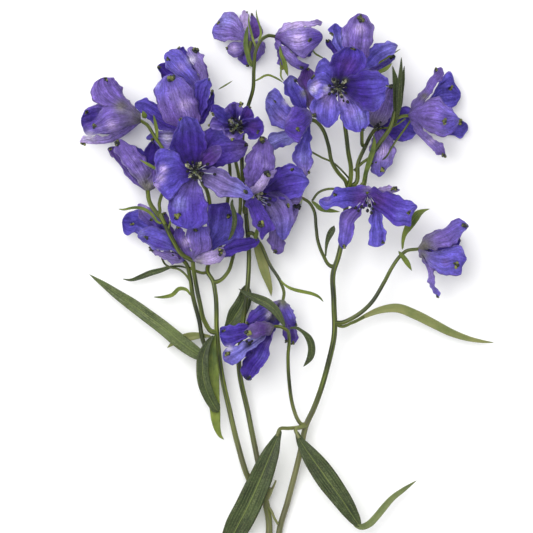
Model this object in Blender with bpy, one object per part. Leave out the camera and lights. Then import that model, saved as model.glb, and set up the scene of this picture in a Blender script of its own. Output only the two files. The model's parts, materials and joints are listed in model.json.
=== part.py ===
"""A cut spray of branching delphinium, lying on a table.

The spray lies flat: its stalk runs along Y, with the top of the spray at +Y, and +Z points up
from the table. Every place below is read off one drawing of the spray seen from straight above,
ruled in steps of half a millimetre. Columns count to the right and rows count down the drawing,
and the third number of a place is its height above the table in millimetres.
"""

import math
from collections import namedtuple

import bmesh
import bpy
from mathutils import Vector

MM = 0.001
DRAWING_STEP = 0.5 * MM
CENTRE_COLUMN = 288.0
CENTRE_ROW = 323.0

SEPAL_THICKNESS = 0.6 * MM
SEPAL_WIDEST_AT = 0.58
SEPAL_FOOT = 0.2
SEPAL_TIP_ROUNDNESS = 2.4
SEPAL_ROWS = (0.02, 0.33, 0.64, 0.89)
RECEPTACLE_RADIUS = 2.1 * MM
RECEPTACLE_SEGMENTS = 8
RECEPTACLE_RINGS = 5
STAMEN_RADIUS = 1.9 * MM
STAMEN_LENGTH = 8.0 * MM
STAMEN_SIDES = 6

LEAF_THICKNESS = 0.6 * MM
LEAF_KEEL = 0.32
LEAF_STALK = 0.14
LEAF_FULLNESS = 1.3
ROUTE_STEPS = 2

COLOURS = {
    "floret": (0.082, 0.040, 0.350, 1.0),
    "stem": (0.075, 0.110, 0.018, 1.0),
    "leaf": (0.050, 0.090, 0.026, 1.0),
}
ROUGHNESS = {"floret": 0.55, "stem": 0.45, "leaf": 0.5}

INNER_UP = 1
OUTER_UP = -1

Sepal = namedtuple("Sepal", "tip one_side other_side bow face")
Floret = namedtuple("Floret", "base facing sepals")
Stem = namedtuple("Stem", "foot_diameter top_diameter route")
Leaf = namedtuple("Leaf", "widest widest_at route")

# Each floret has a base on its pedicel, the direction it opens in (right, up the spray, up from
# the table) and its sepals. A sepal runs from the base to its tip. Its two sides are where it is
# widest, bow is how far its midrib bulges outwards in millimetres, and face is the side on top.
FLORETS = {
    "floret_01": Floret((141, 121, 16), (-1.0, 0.15, 0.2), (
        Sepal((103, 79, 21), (125, 90, 14), (96, 99, 22), 2, OUTER_UP),
        Sepal((86, 110, 11), (112, 103, 9), (104, 122, 7), 2, INNER_UP),
        Sepal((84, 126, 25), (112, 106, 23), (110, 132, 23), 4, OUTER_UP),
        Sepal((82, 143, 15), (108, 134, 20), (112, 141, 8), 2, OUTER_UP),
        Sepal((92, 128, 1.6), (113, 114, 2.6), (112, 134, 2.6), 3, INNER_UP),
    )),
    "floret_02": Floret((148, 191, 15), (-0.5, 0.85, 0.2), (
        Sepal((115, 142, 22), (119, 167, 18), (142, 155, 22), 3, OUTER_UP),
        Sepal((153, 140, 9), (140, 158, 8), (164, 158, 10), 2, INNER_UP),
        Sepal((110, 150, 8), (122, 171, 7), (130, 152, 6), 2, INNER_UP),
        Sepal((161, 162, 19), (147, 168, 22), (160, 175, 15), 1, OUTER_UP),
        Sepal((135, 146, 2), (128, 164, 2), (148, 162, 2), 3, INNER_UP),
    )),
    "floret_03": Floret((195, 172, 36), (0.0, 0.05, 1.0), (
        Sepal((185, 119, 48), (171, 146, 43), (203, 138, 42), 3, INNER_UP),
        Sepal((247, 146, 27), (219, 128, 31), (229, 163, 34), 1, INNER_UP),
        Sepal((252, 194, 44), (231, 172, 44), (222, 198, 43), 2, INNER_UP),
        Sepal((188, 229, 43), (167, 207, 42), (209, 207, 42), 2, INNER_UP),
        Sepal((154, 172, 45), (168, 150, 45), (172, 197, 43), 2, INNER_UP),
    )),
    "floret_04": Floret((190, 128, 26), (-0.15, 0.9, -0.35), (
        Sepal((170, 76, 33), (156, 97, 31), (198, 95, 30), 3, OUTER_UP),
        Sepal((135, 104, 13), (157, 101, 17), (150, 124, 14), 2, INNER_UP),
        Sepal((209, 79, 29), (196, 98, 27), (210, 106, 27), 1, INNER_UP),
        Sepal((214, 90, 22), (215, 108, 21), (203, 105, 20), 1, INNER_UP),
        Sepal((148, 138, 16), (163, 131, 18), (166, 148, 17), 2, INNER_UP),
    )),
    "floret_05": Floret((206, 97, 15), (-0.4, 0.9, 0.0), (
        Sepal((162, 59, 20), (184, 53, 21), (166, 80, 18), 3, OUTER_UP),
        Sepal((193, 47, 19), (188, 64, 20), (206, 66, 15), 2, OUTER_UP),
        Sepal((180, 50, 8), (172, 62, 7), (190, 58, 8), 2, INNER_UP),
        Sepal((207, 58, 6), (212, 76, 8), (198, 66, 5), 2, INNER_UP),
        Sepal((157, 85, 10), (175, 73, 8), (178, 93, 12), 2, INNER_UP),
    )),
    "floret_06": Floret((236, 128, 33), (0.0, 0.1, 1.0), (
        Sepal((211, 112, 41), (222, 106, 41), (211, 127, 42), 3, INNER_UP),
        Sepal((237, 104, 44), (226, 107, 42), (245, 108, 42), 3, INNER_UP),
        Sepal((252, 109, 42), (243, 106, 42), (257, 118, 41), 3, INNER_UP),
        Sepal((262, 130, 44), (257, 117, 43), (249, 141, 43), 3, INNER_UP),
        Sepal((230, 141, 45), (218, 130, 44), (245, 138, 44), 2, INNER_UP),
    )),
    "floret_07": Floret((250, 194, 24), (0.8, 0.0, 0.6), (
        Sepal((262, 138, 34), (243, 165, 33), (275, 165, 33), 2, OUTER_UP),
        Sepal((278, 170, 36), (262, 178, 36), (270, 184, 32), 1, OUTER_UP),
        Sepal((309, 181, 24), (284, 164, 26), (288, 196, 23), 2, INNER_UP),
        Sepal((291, 229, 24), (289, 203, 26), (266, 222, 23), 2, INNER_UP),
        Sepal((266, 238, 33), (250, 216, 33), (270, 213, 33), 2, OUTER_UP),
    )),
    "floret_08": Floret((310, 120, 20), (-1.0, 0.0, 0.1), (
        Sepal((291, 76, 22), (284, 97, 23), (303, 93, 19), 2, INNER_UP),
        Sepal((313, 68, 12), (299, 84, 12), (319, 92, 12), 2, OUTER_UP),
        Sepal((265, 103, 13), (278, 89, 12), (275, 127, 13), 2, INNER_UP),
        Sepal((286, 129, 37), (296, 107, 33), (297, 144, 33), 4, OUTER_UP),
        Sepal((268, 144, 23), (284, 131, 25), (284, 149, 21), 1, INNER_UP),
        Sepal((305, 178, 20), (292, 158, 20), (312, 152, 19), 1, INNER_UP),
    )),
    "floret_09": Floret((338, 89, 36), (0.0, 0.05, 1.0), (
        Sepal((351, 47, 46), (331, 66, 44), (367, 66, 43), 4, INNER_UP),
        Sepal((308, 80, 45), (325, 60, 43), (318, 99, 43), 2, INNER_UP),
        Sepal((320, 127, 42), (311, 108, 42), (339, 112, 41), 2, INNER_UP),
        Sepal((357, 132, 42), (341, 117, 41), (366, 112, 41), 1, INNER_UP),
        Sepal((388, 91, 44), (370, 72, 45), (367, 108, 46), 2, INNER_UP),
    )),
    "floret_10": Floret((357, 72, 21), (0.1, 1.0, -0.3), (
        Sepal((361, 14, 29), (342, 36, 26), (374, 34, 26), 3, OUTER_UP),
        Sepal((329, 30, 18), (346, 36, 15), (328, 51, 19), 1, INNER_UP),
        Sepal((397, 46, 20), (376, 43, 21), (386, 61, 20), 1, INNER_UP),
        Sepal((395, 59, 12), (379, 58, 12), (384, 72, 14), 1, OUTER_UP),
        Sepal((352, 28, 9), (344, 46, 8), (366, 44, 9), 2, INNER_UP),
    )),
    "floret_11": Floret((275, 37, 16), (1.0, -0.15, 0.1), (
        Sepal((322, 23, 15), (300, 23, 9), (302, 29, 20), 1, OUTER_UP),
        Sepal((323, 41, 24), (303, 29, 24), (301, 57, 22), 4, OUTER_UP),
        Sepal((308, 67, 17), (297, 55, 20), (288, 60, 14), 2, OUTER_UP),
        Sepal((282, 69, 11), (276, 55, 14), (286, 57, 9), 1, OUTER_UP),
        Sepal((314, 48, 2.2), (298, 31, 3.2), (300, 56, 2.2), 3, INNER_UP),
    )),
    "floret_12": Floret((251, 42, 13), (-0.1, 0.0, -1.0), (
        Sepal((214, 28, 9), (231, 13, 9), (222, 42, 10), 2, OUTER_UP),
        Sepal((246, 10, 7), (240, 26, 8), (250, 27, 9), 1, OUTER_UP),
        Sepal((254, 14, 10), (252, 28, 10), (266, 33, 10), 1, OUTER_UP),
        Sepal((227, 50, 8), (234, 43, 9), (237, 57, 9), 1, OUTER_UP),
        Sepal((249, 66, 4), (238, 56, 5), (266, 50, 6), 1, OUTER_UP),
    )),
    "floret_13": Floret((376, 128, 13), (0.2, 0.1, 0.9), (
        Sepal((391, 86, 15), (373, 103, 15), (395, 107, 13), 2, OUTER_UP),
        Sepal((417, 127, 10), (402, 108, 10), (399, 141, 10), 1, INNER_UP),
        Sepal((381, 177, 14), (371, 155, 14), (395, 153, 13), 2, OUTER_UP),
        Sepal((352, 112, 8), (361, 100, 8), (360, 124, 8), 2, INNER_UP),
        Sepal((372, 92, 8), (365, 106, 8), (384, 104, 8), 2, INNER_UP),
    )),
    "floret_14": Floret((408, 116, 17), (1.0, 0.0, 0.1), (
        Sepal((441, 68, 18), (421, 89, 15), (434, 89, 20), 1, OUTER_UP),
        Sepal((457, 82, 8), (440, 76, 9), (451, 107, 8), 2, INNER_UP),
        Sepal((454, 124, 25), (437, 99, 24), (438, 137, 22), 4, OUTER_UP),
        Sepal((467, 128, 2.9), (449, 109, 1.9), (448, 139, 2.8), 3, INNER_UP),
        Sepal((448, 157, 15), (431, 136, 17), (423, 142, 11), 1, OUTER_UP),
    )),
    "floret_15": Floret((368, 194, 27), (0.05, -0.6, 0.8), (
        Sepal((319, 200, 31), (342, 188, 30), (343, 208, 32), 1, INNER_UP),
        Sepal((397, 189, 24), (380, 187, 28), (382, 191, 20), 1, OUTER_UP),
        Sepal((412, 220, 30), (403, 197, 31), (388, 217, 30), 1, INNER_UP),
        Sepal((344, 249, 31), (339, 226, 31), (357, 224, 31), 1, INNER_UP),
        Sepal((377, 248, 29), (368, 232, 29), (385, 232, 27), 1, INNER_UP),
    )),
    "floret_16": Floret((418, 249, 16), (1.0, -0.2, 0.1), (
        Sepal((468, 227, 19), (444, 225, 17), (448, 246, 23), 3, OUTER_UP),
        Sepal((464, 264, 21), (453, 244, 19), (441, 276, 19), 3, OUTER_UP),
        Sepal((440, 297, 13), (428, 277, 11), (436, 277, 16), 1, OUTER_UP),
        Sepal((460, 240, 5), (444, 230, 5), (446, 255, 4), 2, INNER_UP),
        Sepal((452, 266, 1.9), (441, 252, 2.9), (433, 271, 2.9), 2, INNER_UP),
    )),
    "floret_17": Floret((274, 326, 22), (-1.0, -0.3, 0.2), (
        Sepal((221, 333, 21), (242, 324, 20), (243, 343, 21), 1, INNER_UP),
        Sepal((245, 333, 32), (259, 322, 29), (261, 337, 29), 2, OUTER_UP),
        Sepal((226, 358, 26), (242, 341, 26), (246, 354, 26), 1, INNER_UP),
        Sepal((247, 379, 22), (245, 361, 20), (269, 356, 25), 2, INNER_UP),
        Sepal((238, 352, 14), (251, 337, 15), (256, 352, 14), 2, INNER_UP),
    )),
    "floret_18": Floret((283, 300, 13), (-0.2, -1.0, 0.1), (
        Sepal((247, 325, 12), (262, 304, 13), (268, 321, 12), 2, OUTER_UP),
        Sepal((295, 327, 18), (279, 317, 19), (294, 312, 14), 2, OUTER_UP),
        Sepal((285, 342, 12), (277, 326, 13), (290, 325, 13), 1, INNER_UP),
        Sepal((295, 344, 8), (288, 327, 8), (298, 328, 8), 1, INNER_UP),
        Sepal((268, 334, 7), (262, 318, 7), (280, 322, 7), 2, INNER_UP),
    )),
    "floret_19": Floret((184, 261, 13), (-0.8, 0.6, 0.2), (
        Sepal((123, 221, 10), (147, 211, 9), (138, 238, 10), 2, INNER_UP),
        Sepal((147, 206, 15), (143, 226, 14), (161, 213, 14), 2, INNER_UP),
        Sepal((139, 239, 20), (158, 226, 20), (156, 248, 18), 3, OUTER_UP),
        Sepal((149, 250, 12), (160, 244, 14), (163, 258, 8), 1, OUTER_UP),
        Sepal((168, 215, 8), (162, 233, 7), (179, 233, 8), 2, INNER_UP),
    )),
    "floret_20": Floret((193, 260, 16), (0.3, 0.95, 0.2), (
        Sepal((179, 226, 18), (175, 240, 17), (189, 237, 22), 1, OUTER_UP),
        Sepal((199, 226, 28), (188, 240, 26), (212, 238, 28), 2, OUTER_UP),
        Sepal((222, 202, 15), (206, 213, 15), (242, 228, 14), 2, INNER_UP),
        Sepal((259, 241, 21), (238, 238, 22), (232, 255, 19), 1, INNER_UP),
        Sepal((226, 252, 26), (210, 246, 26), (211, 265, 21), 2, OUTER_UP),
    )),
    "floret_21": Floret((302, 198, 13), (-0.4, -0.6, 0.7), (
        Sepal((280, 252, 14), (273, 231, 15), (293, 236, 12), 1, OUTER_UP),
        Sepal((295, 228, 6), (284, 214, 8), (302, 214, 7), 1, INNER_UP),
        Sepal((299, 212, 22), (291, 204, 18), (306, 206, 18), 1, OUTER_UP),
        Sepal((262, 214, 8), (274, 200, 8), (274, 219, 7), 1, INNER_UP),
        Sepal((277, 182, 6), (280, 196, 6), (291, 183, 7), 1, INNER_UP),
    )),
}

# Stems and pedicels are round, with a diameter in millimetres at the foot and at the top.
STEMS = {
    "cut_stalk": Stem(3.8, 3.2, (
        (280, 636, 1.95), (277, 600, 1.95), (272.5, 570, 2.1), (269.3, 540, 2.6), (268.4, 516, 3.6),
        (266, 509, 4.2))),
    "stem_left": Stem(2.9, 1.6, (
        (258.8, 497, 5), (248, 477, 6), (238, 445, 7), (229.6, 410, 8), (222, 375, 9), (217, 332, 11),
        (215.4, 293, 12), (213, 281, 11), (207.5, 271, 9), (209, 262, 7), (210.5, 230, 7),
        (208.5, 196, 17), (199, 177, 31))),
    "stem_middle": Stem(2.8, 1.6, (
        (266, 502, 5), (257, 457, 5), (248.4, 414, 5.5), (239, 365, 7), (243, 323, 8), (247, 293, 10),
        (249, 255, 10), (246, 213, 10), (242, 154, 10), (244, 125, 11), (248, 107, 13), (253, 90, 16),
        (254, 69, 18), (257, 48, 20), (262, 40, 20), (268, 36.5, 19), (272, 37, 17.5))),
    "stem_right": Stem(2.9, 2.4, (
        (277.8, 552, 2.7), (279, 533, 3), (288, 500, 4), (300, 453, 6), (306.5, 424, 7), (313, 410, 8),
        (329, 360, 11), (334, 336, 12), (333.7, 301, 13), (333.5, 271, 13), (337.5, 259, 13),
        (342, 240, 13), (345, 215, 14), (348, 188, 15))),
    "stem_far_left": Stem(2.2, 2.0, (
        (212, 331.5, 10), (205, 322, 10.5), (200, 303, 12), (196, 283, 12), (193.3, 266, 14))),
    "stem_shade": Stem(2.2, 2.0, (
        (216, 358, 7), (205.5, 346, 7), (199, 319, 7.5), (193, 296, 8), (190, 276, 9), (187, 265, 11))),
    "pedicel_01": Stem(1.5, 1.6, (
        (160.3, 211, 25.5), (159.7, 205, 26), (163, 193, 28), (168, 180, 30), (169, 165, 29), (163, 149, 27),
        (155, 137, 23), (147, 125, 18.5))),
    "pedicel_02": Stem(2.2, 2.2, (
        (184, 256, 19), (172, 238, 24), (163.5, 221, 24), (156, 212, 22), (149.5, 201, 18),
        (148.3, 196, 16))),
    "pedicel_04": Stem(1.5, 1.5, (
        (204, 186, 21), (199, 165, 22), (194, 145, 23), (191, 133, 25))),
    "pedicel_05": Stem(1.6, 1.5, (
        (213, 262, 6), (222, 230, 6), (227, 205, 8), (230, 171, 12), (225, 140, 13), (214, 112, 13),
        (208, 101, 14))),
    "pedicel_06": Stem(1.8, 1.6, (
        (219, 281, 11), (228, 272, 11), (233, 257, 9), (237, 235, 9), (240.5, 200, 12), (238.6, 175, 14),
        (235.5, 160, 16), (236, 143, 20), (236, 134, 22), (236, 129, 24))),
    "pedicel_07": Stem(1.7, 1.7, (
        (244, 212, 13), (244.5, 206, 16), (247, 198, 21))),
    "pedicel_08": Stem(1.8, 1.8, (
        (345, 181, 16), (338, 173, 17), (332, 163, 18), (328, 145, 19), (322, 129, 20), (315, 121.5, 20))),
    "pedicel_09": Stem(2.2, 1.8, (
        (350, 181, 17), (350.8, 170, 18), (348, 153, 22), (345.7, 134, 27), (342, 110, 31),
        (339, 93, 33))),
    "pedicel_10": Stem(1.7, 1.7, (
        (362, 145, 17), (361.6, 136, 19), (363, 110, 19), (360, 85, 19), (358, 76, 20))),
    "pedicel_13": Stem(2.2, 1.8, (
        (355, 184, 14), (358, 163, 14), (365, 147, 13), (371, 135, 12), (373, 131, 12))),
    "pedicel_14": Stem(1.6, 1.6, (
        (397.6, 118.3, 19), (400.5, 117, 19), (403.3, 116, 18))),
    "bud_stem": Stem(2.2, 2.2, (
        (361, 189, 14), (366, 172, 15), (371, 157, 17), (379, 144, 19), (390, 127.6, 19.5),
        (394.5, 112, 19.5))),
    "pedicel_16": Stem(2.2, 1.6, (
        (339, 323, 12), (354, 317, 12), (369, 305, 13), (384, 282, 14), (392, 267, 15), (399, 257, 15),
        (406, 251, 16), (413.5, 248.6, 16))),
    "pedicel_17": Stem(1.8, 1.5, (
        (301.5, 424, 8), (297, 418, 9), (294, 410, 9), (289, 380, 12), (288, 356, 15), (289, 337, 20),
        (287, 330, 24), (282, 327, 25), (278, 326, 24))),
    "pedicel_18": Stem(1.7, 1.5, (
        (251.5, 233, 11), (259, 242, 10), (270, 265, 11), (281, 283, 13), (284, 293, 13.3),
        (283.6, 296, 13.3))),
    "pedicel_21": Stem(1.7, 1.4, (
        (330.5, 266, 13), (323, 255, 13), (317.6, 240, 13), (316, 227, 13), (314, 211, 13),
        (309, 202.5, 13), (306.5, 200.3, 13))),
}

# Leaves have their greatest width in millimetres, how far along it comes, and the midrib's route.
LEAVES = {
    "leaf_left_long": Leaf(10.0, 0.55, (
        (210, 341, 11), (196, 345, 11), (169, 331, 11), (133, 306, 8), (108, 289, 5), (89, 274, 2.5))),
    "leaf_left_narrow": Leaf(4.4, 0.6, (
        (187, 268, 6), (178, 266.5, 6), (165, 269, 6), (145, 276, 5), (122, 279, 4))),
    "leaf_hanging": Leaf(10.5, 0.45, (
        (213, 338, 13.5), (208, 355, 14), (207, 380, 13), (213, 405, 11.5), (224, 439, 9))),
    "leaf_behind_left": Leaf(4.4, 0.5, (
        (210, 336.5, 6), (195, 335.5, 5), (181, 339, 5), (167, 348, 4))),
    "leaf_over_floret": Leaf(3.2, 0.4, (
        (233, 199, 34), (235.2, 210, 33), (234.5, 222, 31.5), (231.5, 233, 30), (229, 241, 29))),
    "leaf_middle_right": Leaf(6.2, 0.5, (
        (256, 239, 8), (261, 257, 7), (266, 277, 6), (271, 296, 5))),
    "leaf_middle_left": Leaf(9.0, 0.45, (
        (247, 287, 6), (243, 299, 5), (235, 313, 4.5), (222, 327, 4))),
    "leaf_right_narrow": Leaf(2.6, 0.6, (
        (283, 280, 15), (290, 288, 16), (304, 292, 16), (315, 295, 15), (323, 302, 13))),
    "leaf_over_lower": Leaf(4.6, 0.4, (
        (285, 325, 26.5), (277, 311, 25), (262, 300, 23), (239, 289, 19))),
    "leaf_right_arc": Leaf(4.4, 0.55, (
        (291.5, 328.5, 24), (299, 330, 24), (309, 341, 22), (311, 353, 20), (304, 366, 18))),
    "leaf_right_long": Leaf(5.6, 0.6, (
        (339.5, 327, 12), (360, 320, 11), (380, 310, 10), (400, 309, 9), (435, 325, 7), (468, 339, 5),
        (494, 342, 3))),
    "leaf_bottom_left": Leaf(13.0, 0.45, (
        (281, 429, 13), (273, 446, 14), (262, 474, 13), (249, 503, 10), (236, 531, 6), (228, 551, 2.5))),
    "leaf_bottom_right": Leaf(12.0, 0.45, (
        (296, 430, 13), (306, 449, 14), (322, 472, 14), (339, 496, 13), (352, 515, 12), (360, 526, 11),
        (374, 524, 9), (394, 500, 7), (417, 480, 5))),
    "leaf_upper_right": Leaf(5.2, 0.6, (
        (402, 250, 17), (404, 239, 18), (411, 224, 20), (418, 215, 20), (429, 209, 20))),
    "bud": Leaf(5.4, 0.3, (
        (395, 109, 19.5), (397, 98, 19), (397, 88, 18.5), (400, 74, 18), (401, 59, 18))),
    "bract_right": Leaf(3.4, 0.75, (
        (325.6, 255, 15), (326.5, 246, 16), (330, 236, 17), (333, 227, 17))),
}


def spot(column, row, height):
    """The point of the object at a place of the drawing, in metres."""
    return Vector((
        (column - CENTRE_COLUMN) * DRAWING_STEP,
        (CENTRE_ROW - row) * DRAWING_STEP,
        height * MM,
    ))


def material(kind):
    """The shared Principled material of the sepals, the stems or the leaves."""
    found = bpy.data.materials.get(kind)
    if found:
        return found
    made = bpy.data.materials.new(kind)
    made.use_nodes = True
    shader = made.node_tree.nodes["Principled BSDF"]
    shader.inputs["Base Color"].default_value = COLOURS[kind]
    shader.inputs["Roughness"].default_value = ROUGHNESS[kind]
    shader.inputs["Metallic"].default_value = 0.0
    return made


def add_object(name, data, kind):
    """Puts a mesh or a curve into the scene under its own name, with its material."""
    made = bpy.data.objects.new(name, data)
    made.data.materials.append(material(kind))
    bpy.context.scene.collection.objects.link(made)
    return made


def mesh_of(name, shape):
    """The finished mesh of a bmesh, facing out and shaded smooth."""
    bmesh.ops.recalc_face_normals(shape, faces=shape.faces)
    mesh = bpy.data.meshes.new(name)
    shape.to_mesh(mesh)
    shape.free()
    mesh.shade_smooth()
    return mesh


def smooth_route(places):
    """The points of a smooth curve through the places, with a few more between each two."""
    knots = [spot(*place) for place in places]
    knots = [2 * knots[0] - knots[1], *knots, 2 * knots[-1] - knots[-2]]
    points = []
    for before, start, end, after in zip(knots, knots[1:], knots[2:], knots[3:]):
        for step in range(ROUTE_STEPS):
            t = step / ROUTE_STEPS
            points.append(0.5 * (
                2 * start
                + (end - before) * t
                + (2 * before - 5 * start + 4 * end - after) * t ** 2
                + (3 * start - before - 3 * end + after) * t ** 3
            ))
    points.append(knots[-2])
    return points


def add_slab(shape, rows, tip, thickness):
    """A closed thin slab of three columns, from rows of points and their normals to one tip."""
    layers = []
    for offset in (thickness / 2, -thickness / 2):
        grid = [[shape.verts.new(point + normal * offset) for point in points]
                for points, normal in rows]
        end, end_normal = tip
        layers.append((grid, shape.verts.new(end + end_normal * offset)))
    for number, (grid, end) in enumerate(layers):
        faces = [(lower[i], lower[i + 1], upper[i + 1], upper[i])
                 for lower, upper in zip(grid, grid[1:]) for i in range(len(lower) - 1)]
        faces += [(grid[-1][i], grid[-1][i + 1], end) for i in range(len(grid[-1]) - 1)]
        for corners in faces:
            shape.faces.new(corners if number == 0 else corners[::-1])
    (top, top_end), (bottom, bottom_end) = layers
    rims = [[row[0] for row in grid] + [end] + [row[-1] for row in reversed(grid)]
            for grid, end in ((top, top_end), (bottom, bottom_end))]
    for grid, rim in zip((top, bottom), rims):
        rim.extend(reversed(grid[0][1:-1]))
    above, below = rims
    for i in range(len(above)):
        j = (i + 1) % len(above)
        shape.faces.new((above[i], above[j], below[j], below[i]))


def sepal_width(t):
    """The width at t along a sepal, as a part of its greatest: a narrow foot and a round tip."""
    if t < SEPAL_WIDEST_AT:
        return SEPAL_FOOT + (1 - SEPAL_FOOT) * math.sin(math.pi / 2 * t / SEPAL_WIDEST_AT)
    past = (t - SEPAL_WIDEST_AT) / (1 - SEPAL_WIDEST_AT)
    return math.sqrt(max(0.0, 1 - past ** SEPAL_TIP_ROUNDNESS))


def add_sepal(shape, base, sepal):
    """One sepal as a closed slab, bowed along its midrib."""
    tip = spot(*sepal.tip)
    sides = [spot(*sepal.one_side), spot(*sepal.other_side)]
    along = tip - base
    inward = (sides[1] - sides[0]).cross(along).normalized()
    if inward.z * sepal.face < 0:
        inward.negate()

    def midrib(t):
        return base + along * t - inward * (sepal.bow * MM * 4 * t * (1 - t))

    widest = midrib(SEPAL_WIDEST_AT)
    rows = []
    for t in SEPAL_ROWS:
        centre = midrib(t)
        points = [centre + (sides[0] - widest) * sepal_width(t), centre,
                  centre + (sides[1] - widest) * sepal_width(t)]
        rows.append((points, inward))
    add_slab(shape, rows, (tip, inward), SEPAL_THICKNESS)


def add_floret(name, floret):
    """A floret as one solid: its sepals start inside a little ball, with a column of stamens on it."""
    base = spot(*floret.base)
    facing = Vector(floret.facing).normalized()
    shape = bmesh.new()
    for sepal in floret.sepals:
        add_sepal(shape, base, sepal)
    turned = facing.to_track_quat("Z", "Y").to_matrix().to_4x4()
    column = bmesh.ops.create_cone(
        shape, cap_ends=True, segments=STAMEN_SIDES, radius1=STAMEN_RADIUS / 2, radius2=STAMEN_RADIUS,
        depth=STAMEN_LENGTH)["verts"]
    bmesh.ops.transform(shape, matrix=turned, verts=column)
    bmesh.ops.translate(shape, vec=base + facing * STAMEN_LENGTH / 2, verts=column)
    body = add_object(name, mesh_of(name, shape), "floret")

    ball = bmesh.new()
    bmesh.ops.create_uvsphere(
        ball, u_segments=RECEPTACLE_SEGMENTS, v_segments=RECEPTACLE_RINGS,
        radius=RECEPTACLE_RADIUS)
    bmesh.ops.translate(ball, vec=base, verts=ball.verts)
    receptacle = add_object(name + "_receptacle", mesh_of(name + "_receptacle", ball), "floret")
    receptacle.hide_render = True
    receptacle.display_type = "WIRE"

    union = body.modifiers.new("Union", "BOOLEAN")
    union.operation = "UNION"
    union.solver = "EXACT"
    union.use_self = True
    union.object = receptacle


def add_stem(name, stem):
    """A round stem along a smooth route, tapering from its foot to its top."""
    curve = bpy.data.curves.new(name, "CURVE")
    curve.dimensions = "3D"
    curve.bevel_depth = 1 * MM
    curve.bevel_resolution = 2
    curve.use_fill_caps = True
    points = smooth_route(stem.route)
    spline = curve.splines.new("POLY")
    spline.points.add(len(points) - 1)
    for number, (point, target) in enumerate(zip(points, spline.points)):
        share = number / (len(points) - 1)
        target.co = (*point, 1.0)
        target.radius = (stem.foot_diameter * (1 - share) + stem.top_diameter * share) / 2
    add_object(name, curve, "stem")


def leaf_width(t, widest_at):
    """The width at t along a leaf, as a part of its greatest: a stalk, a blade and a point."""
    share = t / widest_at if t < widest_at else (1 - t) / (1 - widest_at)
    return LEAF_STALK + (1 - LEAF_STALK) * math.sin(math.pi / 2 * share) ** LEAF_FULLNESS


def add_leaf(name, leaf):
    """A leaf as a thin slab with a shallow keel, from its stalk to its point."""
    points = smooth_route(leaf.route)
    last = len(points) - 1
    rows = []
    for number in range(last):
        point = points[number]
        along = (points[number + 1] - points[max(number - 1, 0)]).normalized()
        across = along.cross(Vector((0, 0, 1))).normalized()
        up = across.cross(along).normalized()
        half = leaf.widest * MM / 2 * leaf_width(number / last, leaf.widest_at)
        edge = up * half * LEAF_KEEL
        rows.append(([point - across * half + edge, point, point + across * half + edge], up))
    shape = bmesh.new()
    add_slab(shape, rows, (points[last], rows[-1][1]), LEAF_THICKNESS)
    add_object(name, mesh_of(name, shape), "leaf")


for old in list(bpy.data.objects):
    bpy.data.objects.remove(old, do_unlink=True)

for floret_name, floret_shape in FLORETS.items():
    add_floret(floret_name, floret_shape)
for stem_name, stem_shape in STEMS.items():
    add_stem(stem_name, stem_shape)
for leaf_name, leaf_shape in LEAVES.items():
    add_leaf(leaf_name, leaf_shape)
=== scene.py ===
"""A cut spray of branching delphinium, lying on a pale table and seen from straight above."""

import json
import math
from collections import namedtuple

import bpy
import numpy as np
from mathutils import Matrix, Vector

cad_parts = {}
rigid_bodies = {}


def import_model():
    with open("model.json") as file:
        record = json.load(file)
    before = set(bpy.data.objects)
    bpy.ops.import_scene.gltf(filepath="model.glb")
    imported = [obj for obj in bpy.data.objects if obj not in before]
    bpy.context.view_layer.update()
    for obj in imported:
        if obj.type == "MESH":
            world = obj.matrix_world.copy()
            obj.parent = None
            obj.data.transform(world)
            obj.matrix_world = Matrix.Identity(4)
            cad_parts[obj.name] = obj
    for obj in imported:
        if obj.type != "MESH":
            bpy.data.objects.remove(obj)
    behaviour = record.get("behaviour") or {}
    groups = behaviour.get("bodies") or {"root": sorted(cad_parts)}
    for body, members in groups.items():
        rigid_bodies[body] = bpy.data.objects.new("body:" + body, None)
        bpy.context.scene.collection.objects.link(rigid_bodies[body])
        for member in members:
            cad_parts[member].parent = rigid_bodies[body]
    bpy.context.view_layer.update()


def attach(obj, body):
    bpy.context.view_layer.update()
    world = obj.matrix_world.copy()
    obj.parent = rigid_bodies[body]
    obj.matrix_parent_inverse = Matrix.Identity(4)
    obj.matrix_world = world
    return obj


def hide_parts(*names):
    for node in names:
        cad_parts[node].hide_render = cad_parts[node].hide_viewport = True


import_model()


# The stems: one grown plant stem with its main branches and the thin pedicels that carry the
# florets. Green, round and faintly ribbed, a little swollen wherever two of them part, and cut
# straight across at the foot.

MM = 0.001
DRAWING_STEP = 0.5 * MM
CENTRE_COLUMN = 288.0
CENTRE_ROW = 323.0


def spot(column, row, height):
    """The point at a place of the drawing: a column and a row in its steps, a height in mm."""
    return np.array((
        (column - CENTRE_COLUMN) * DRAWING_STEP,
        (CENTRE_ROW - row) * DRAWING_STEP,
        height * MM,
    ))


def smooth_curve(knots):
    """A function that gives rows of a smooth curve through the knots, and where each knot comes.

    The first three numbers of a knot are its place. The others, such as a width, run along.
    """
    knots = np.array(knots, dtype=float)
    gaps = np.linalg.norm(np.diff(knots[:, :3], axis=0), axis=1)
    places = np.concatenate(((0.0,), np.cumsum(gaps)))
    slopes = np.diff(knots, axis=0) / gaps[:, None]
    leans = np.empty_like(knots)
    leans[0] = slopes[0]
    leans[-1] = slopes[-1]
    weights = (gaps[1:] / (gaps[:-1] + gaps[1:]))[:, None]
    leans[1:-1] = slopes[:-1] * weights + slopes[1:] * (1 - weights)

    def rows_at(where):
        number = np.clip(np.searchsorted(places, where, side="right") - 1, 0, len(gaps) - 1)
        gap = gaps[number][:, None]
        u = (where - places[number])[:, None] / gap
        return (
            (1 + 2 * u) * (1 - u) ** 2 * knots[number]
            + u * (1 - u) ** 2 * gap * leans[number]
            + u * u * (3 - 2 * u) * knots[number + 1]
            + u * u * (u - 1) * gap * leans[number + 1]
        )

    return rows_at, places


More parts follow.
